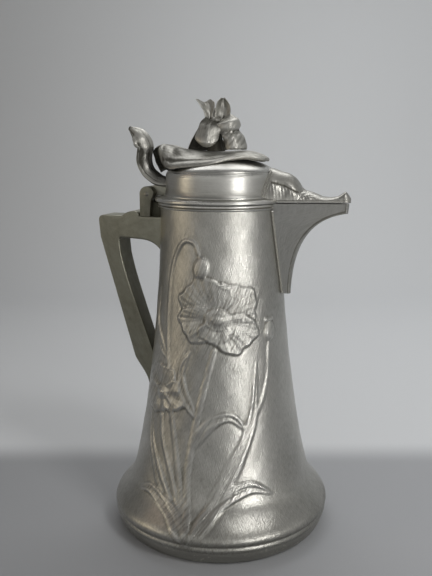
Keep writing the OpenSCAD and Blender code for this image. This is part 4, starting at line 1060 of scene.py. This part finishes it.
# The front petal carries painted shade near its top, by the heart of the flower.
petal("hanging_petal_1", [
    (22.4, (-8.4, 2), (-3, 5), (4, 4)), (20.9, (-11.4, 5), (-4.2, 8.4), (4.6, 7)),
    (18.6, (-13, 7.4), (-5.6, 11.4), (4.4, 9.4)), (15.6, (-14, 9.2), (-6.4, 13.4), (3.4, 11)),
    (12.4, (-15.4, 10.6), (-6.8, 15.2), (2.4, 12)),
    (9, (-16.4, 12), (-7, 17), (2.0, 13)), (6, (-16, 13), (-7, 17.6), (1.6, 14)),
    (3.2, (-14.6, 13.5), (-7.2, 16), (0.6, 14.5))], "fall_side", 0.5, 0.4, bow=4.5, tilt=-3.4, hatch=(9, 7),
      shade=([12, 17, 21], [0, 0.25, 0.6]))
petal("hanging_petal_2", [
    (23.4, (-1, 3), (5, 4), (11, -1)), (22.8, (-1, 6), (8, 8), (15, 0)), (21.6, (-0.6, 8), (10, 11), (17.8, 2)),
    (18, (0.8, 9), (11, 11.8), (19.2, 3)), (15.2, (2.6, 9), (11.4, 10.4), (17.8, 3.2)),
    (13.4, (4, 9.4), (12, 10.6), (19.2, 3.4)), (10.6, (5, 11), (13.6, 13), (21.9, 4.4)),
    (6.6, (6.4, 12.4), (14.8, 14.8), (23.3, 6)), (3.4, (7.2, 13), (15.4, 15.6), (24.2, 7)),
    (1.0, (7.8, 13), (15.4, 15.4), (23.6, 7.6))], "fall_spout", 1.1, 1.5, tilt=5.2, hatch=(44, 12))
# The back petal's inner face is painted dark all over: painted shade.
petal("hanging_petal_3", [
    (24.6, (-6, -1), (-4, -5), (1, -6)), (18.6, (-13, -2), (-9, -10), (2, -12)),
    (10.9, (-18, -3), (-12, -14), (4, -17)), (4.8, (-21.2, -4), (-14, -17), (8, -20)),
    (0.3, (-22.8, -4), (-14.4, -17.5), (9, -20.5))], "fall_handle", 0.5, 2.6,
      shade=([0, 40], [0.85, 0.85]), behind=0.0)
# Painted shade at the roots of the standing petals, low in the flower.
ROOT_PAINTED_SHADE = ([22, 28], [0.8, 0])
petal("standing_petal_1", [
    (21, (-8.6, 2), (-5.6, -1), (-3.0, 1)), (27, (-8.7, 1.4), (-5.6, -1.6), (-2.9, 0.6)),
    (31, (-10, 1.2), (-6, -2.4), (-2, -0.2)), (35, (-12.6, 1), (-6.6, -3.6), (-1.1, -1)),
    (38.6, (-15.9, 1), (-7.2, -5), (-1.4, -2))], "standard_handle", 0.25, 0.6, 1.1, shade=ROOT_PAINTED_SHADE)
petal("standing_petal_2", [
    (22, (-3, -3), (0, -5), (3, -3)), (27, (-4.6, -7), (0, -9), (4.6, -7)),
    (31, (-4.6, -9.5), (0, -11.5), (4.6, -9.5)), (33.5, (-2.4, -11.5), (0, -12.5), (2.4, -11.5))],
      "standard_far", 0.4, 1.8)
petal("standing_petal_3", [
    (21, (-1, 1), (3.5, -1.6), (8, 1)), (26.5, (-1, 1.4), (4.4, -2), (10.6, 0.8)),
    (31, (-0.4, 1.2), (5, -3), (11.3, 0.6)), (35, (0, 1), (5.4, -4), (10.7, 0)),
    (38.4, (1.5, 0.4), (5.5, -4.6), (8.7, -1)), (40.9, (3.9, -1.6), (5.3, -4.4), (6.6, -2.4))],
      "standard_spout", 0.3, 3.1, shade=ROOT_PAINTED_SHADE)

# The floor and backdrop: one long sheet of pale grey paper, laid flat under the flagon and swept up to a wall
# behind it. It lies square to the camera and is darker on the floor, and painted shade darkens it to the left.
SWEEP_START, SWEEP_R, VIEW_TURN = 0.85, 0.6, 17
PAPER_FRONT, PAPER_TOP, PAPER_HALF, PAPER_LOW = -1.7, 3.6, 30.0, 0.0002
sweep = np.array([[PAPER_FRONT, 0.0], [SWEEP_START, 0.0]] + [
    [SWEEP_START + SWEEP_R * math.sin(t), SWEEP_R * (1 - math.cos(t))] for t in np.linspace(0.05, math.pi / 2, 24)]
    + [[SWEEP_START + SWEEP_R, PAPER_TOP]])
sheet = bpy.data.meshes.new("paper")
sheet.from_pydata([(x, y, z - PAPER_LOW) for y, z in sweep for x in (-PAPER_HALF, PAPER_HALF)], [],
                  [(2 * k, 2 * k + 1, 2 * k + 3, 2 * k + 2) for k in range(len(sweep) - 1)])
sheet.shade_smooth()
paper_finish = Finish("grey_paper")
spot = paper_finish.node("ShaderNodeTexCoord", None, None, 3)
fibres = paper_finish.clouds(spot, 700.0, 3.0)
apart = paper_finish.node("ShaderNodeSeparateXYZ", None, {0: spot})
raised = Value(paper_finish, apart.socket.node.outputs[1]).span(0.09, 0.145)
# Painted light: the paper is lighter to the right and falls into painted shade to the left.
painted_light = apart.span(-0.9, 0.45)
floor_pale = paper_finish.blend(fibres, (0.53, 0.54, 0.56, 1), (0.565, 0.575, 0.597, 1))
floor_grey = paper_finish.blend(painted_light, (0.155, 0.158, 0.163, 1), floor_pale)
wall_pale = paper_finish.blend(fibres, (0.88, 0.90, 0.92, 1), (0.93, 0.95, 0.97, 1))
wall_grey = paper_finish.blend(painted_light, (0.50, 0.507, 0.515, 1), wall_pale)
paper_finish.feed(paper_finish.shader, {
    "Base Color": paper_finish.blend(raised, floor_grey, wall_grey), "Roughness": 0.85})
sheet.materials.append(paper_finish.material)
paper = bpy.data.objects.new("paper", sheet)
paper.rotation_euler = (0, 0, math.radians(VIEW_TURN))
bpy.context.collection.objects.link(paper)

# The light: two soft windows in front to the right, one low and one high, a weak warm glow and a small warm spot
# from the left, a broad light above and behind, and a grey room that is lighter to the front right.
AIM_Z, WINDOW_WHITE = 0.17, (1.0, 0.995, 0.98)


def soft_light(name, azimuth, elevation, distance, size, watts, colour, spread=180):
    """An area lamp at a bearing and a distance from the flagon's middle, at which it is aimed."""
    lamp = bpy.data.lights.new(name, "AREA")
    lamp.shape, lamp.size, lamp.size_y, lamp.energy, lamp.color = "RECTANGLE", size[0], size[1], watts, colour
    lamp.spread = math.radians(spread)
    obj = bpy.data.objects.new(name, lamp)
    a, e = math.radians(azimuth), math.radians(elevation)
    obj.location = (distance * math.cos(e) * math.sin(a), -distance * math.cos(e) * math.cos(a),
                    AIM_Z + distance * math.sin(e))
    obj.rotation_euler = (math.pi / 2 - e, 0, a)
    bpy.context.collection.objects.link(obj)


soft_light("window", 52, 0.5, 1.5, (0.28, 0.35), 0.49, WINDOW_WHITE, 60)
soft_light("window_above", 58, 47, 1.5, (0.28, 0.3), 3.8, WINDOW_WHITE)
soft_light("warm_glow", -60, 1, 1.5, (0.5, 0.36), 1.15, (1.0, 0.86, 0.64))
soft_light("warm_spot", -57, 30, 1.5, (0.16, 0.16), 0.32, (1.0, 0.7, 0.45))
soft_light("behind_above", 197, 60, 1.3, (1.2, 0.5), 4.6, (1.0, 1.0, 1.0))
room = bpy.data.worlds.new("room")
bpy.context.scene.world = room
room_light = Finish("room", room)
way_in = room_light.node("ShaderNodeTexCoord")
FRONT_RIGHT = (0.574, -0.819, 0.0)
towards = room_light.node("ShaderNodeVectorMath", {"operation": "DOT_PRODUCT"}, {0: way_in, 1: FRONT_RIGHT}, 1)
upward = room_light.node("ShaderNodeSeparateXYZ", None, {0: way_in}, 2)
level = room_light.blend(towards.span(-0.6, 0.65), (0.07, 0.069, 0.064, 1), (0.6, 0.6, 0.59, 1))
room_light.feed(room_light.shader, {
    "Color": room_light.blend(upward.span(0.12, 0.6), level, (0.2, 0.2, 0.2, 1))})

# The camera: where the photograph was taken from, level with the top of the lid, a little to the spout's side and
# looking slightly down. Its lens and shift set the flagon as it stands there.
VIEW_DOWN, SENSOR, FOCAL_PIXELS, PICTURE_PIXELS = 11.4, 36.0, 710, 576
camera = bpy.data.cameras.new("camera")
camera.lens, camera.sensor_width = SENSOR * FOCAL_PIXELS / PICTURE_PIXELS, SENSOR
camera.shift_x = -5 / PICTURE_PIXELS
viewer = bpy.data.objects.new("camera", camera)
viewer.location = (0.1672, -0.5470, 0.313)
viewer.rotation_euler = (math.radians(90 - VIEW_DOWN), 0, math.radians(VIEW_TURN))
bpy.context.collection.objects.link(viewer)
bpy.context.scene.camera = viewer
bpy.context.scene.view_settings.view_transform = "Standard"
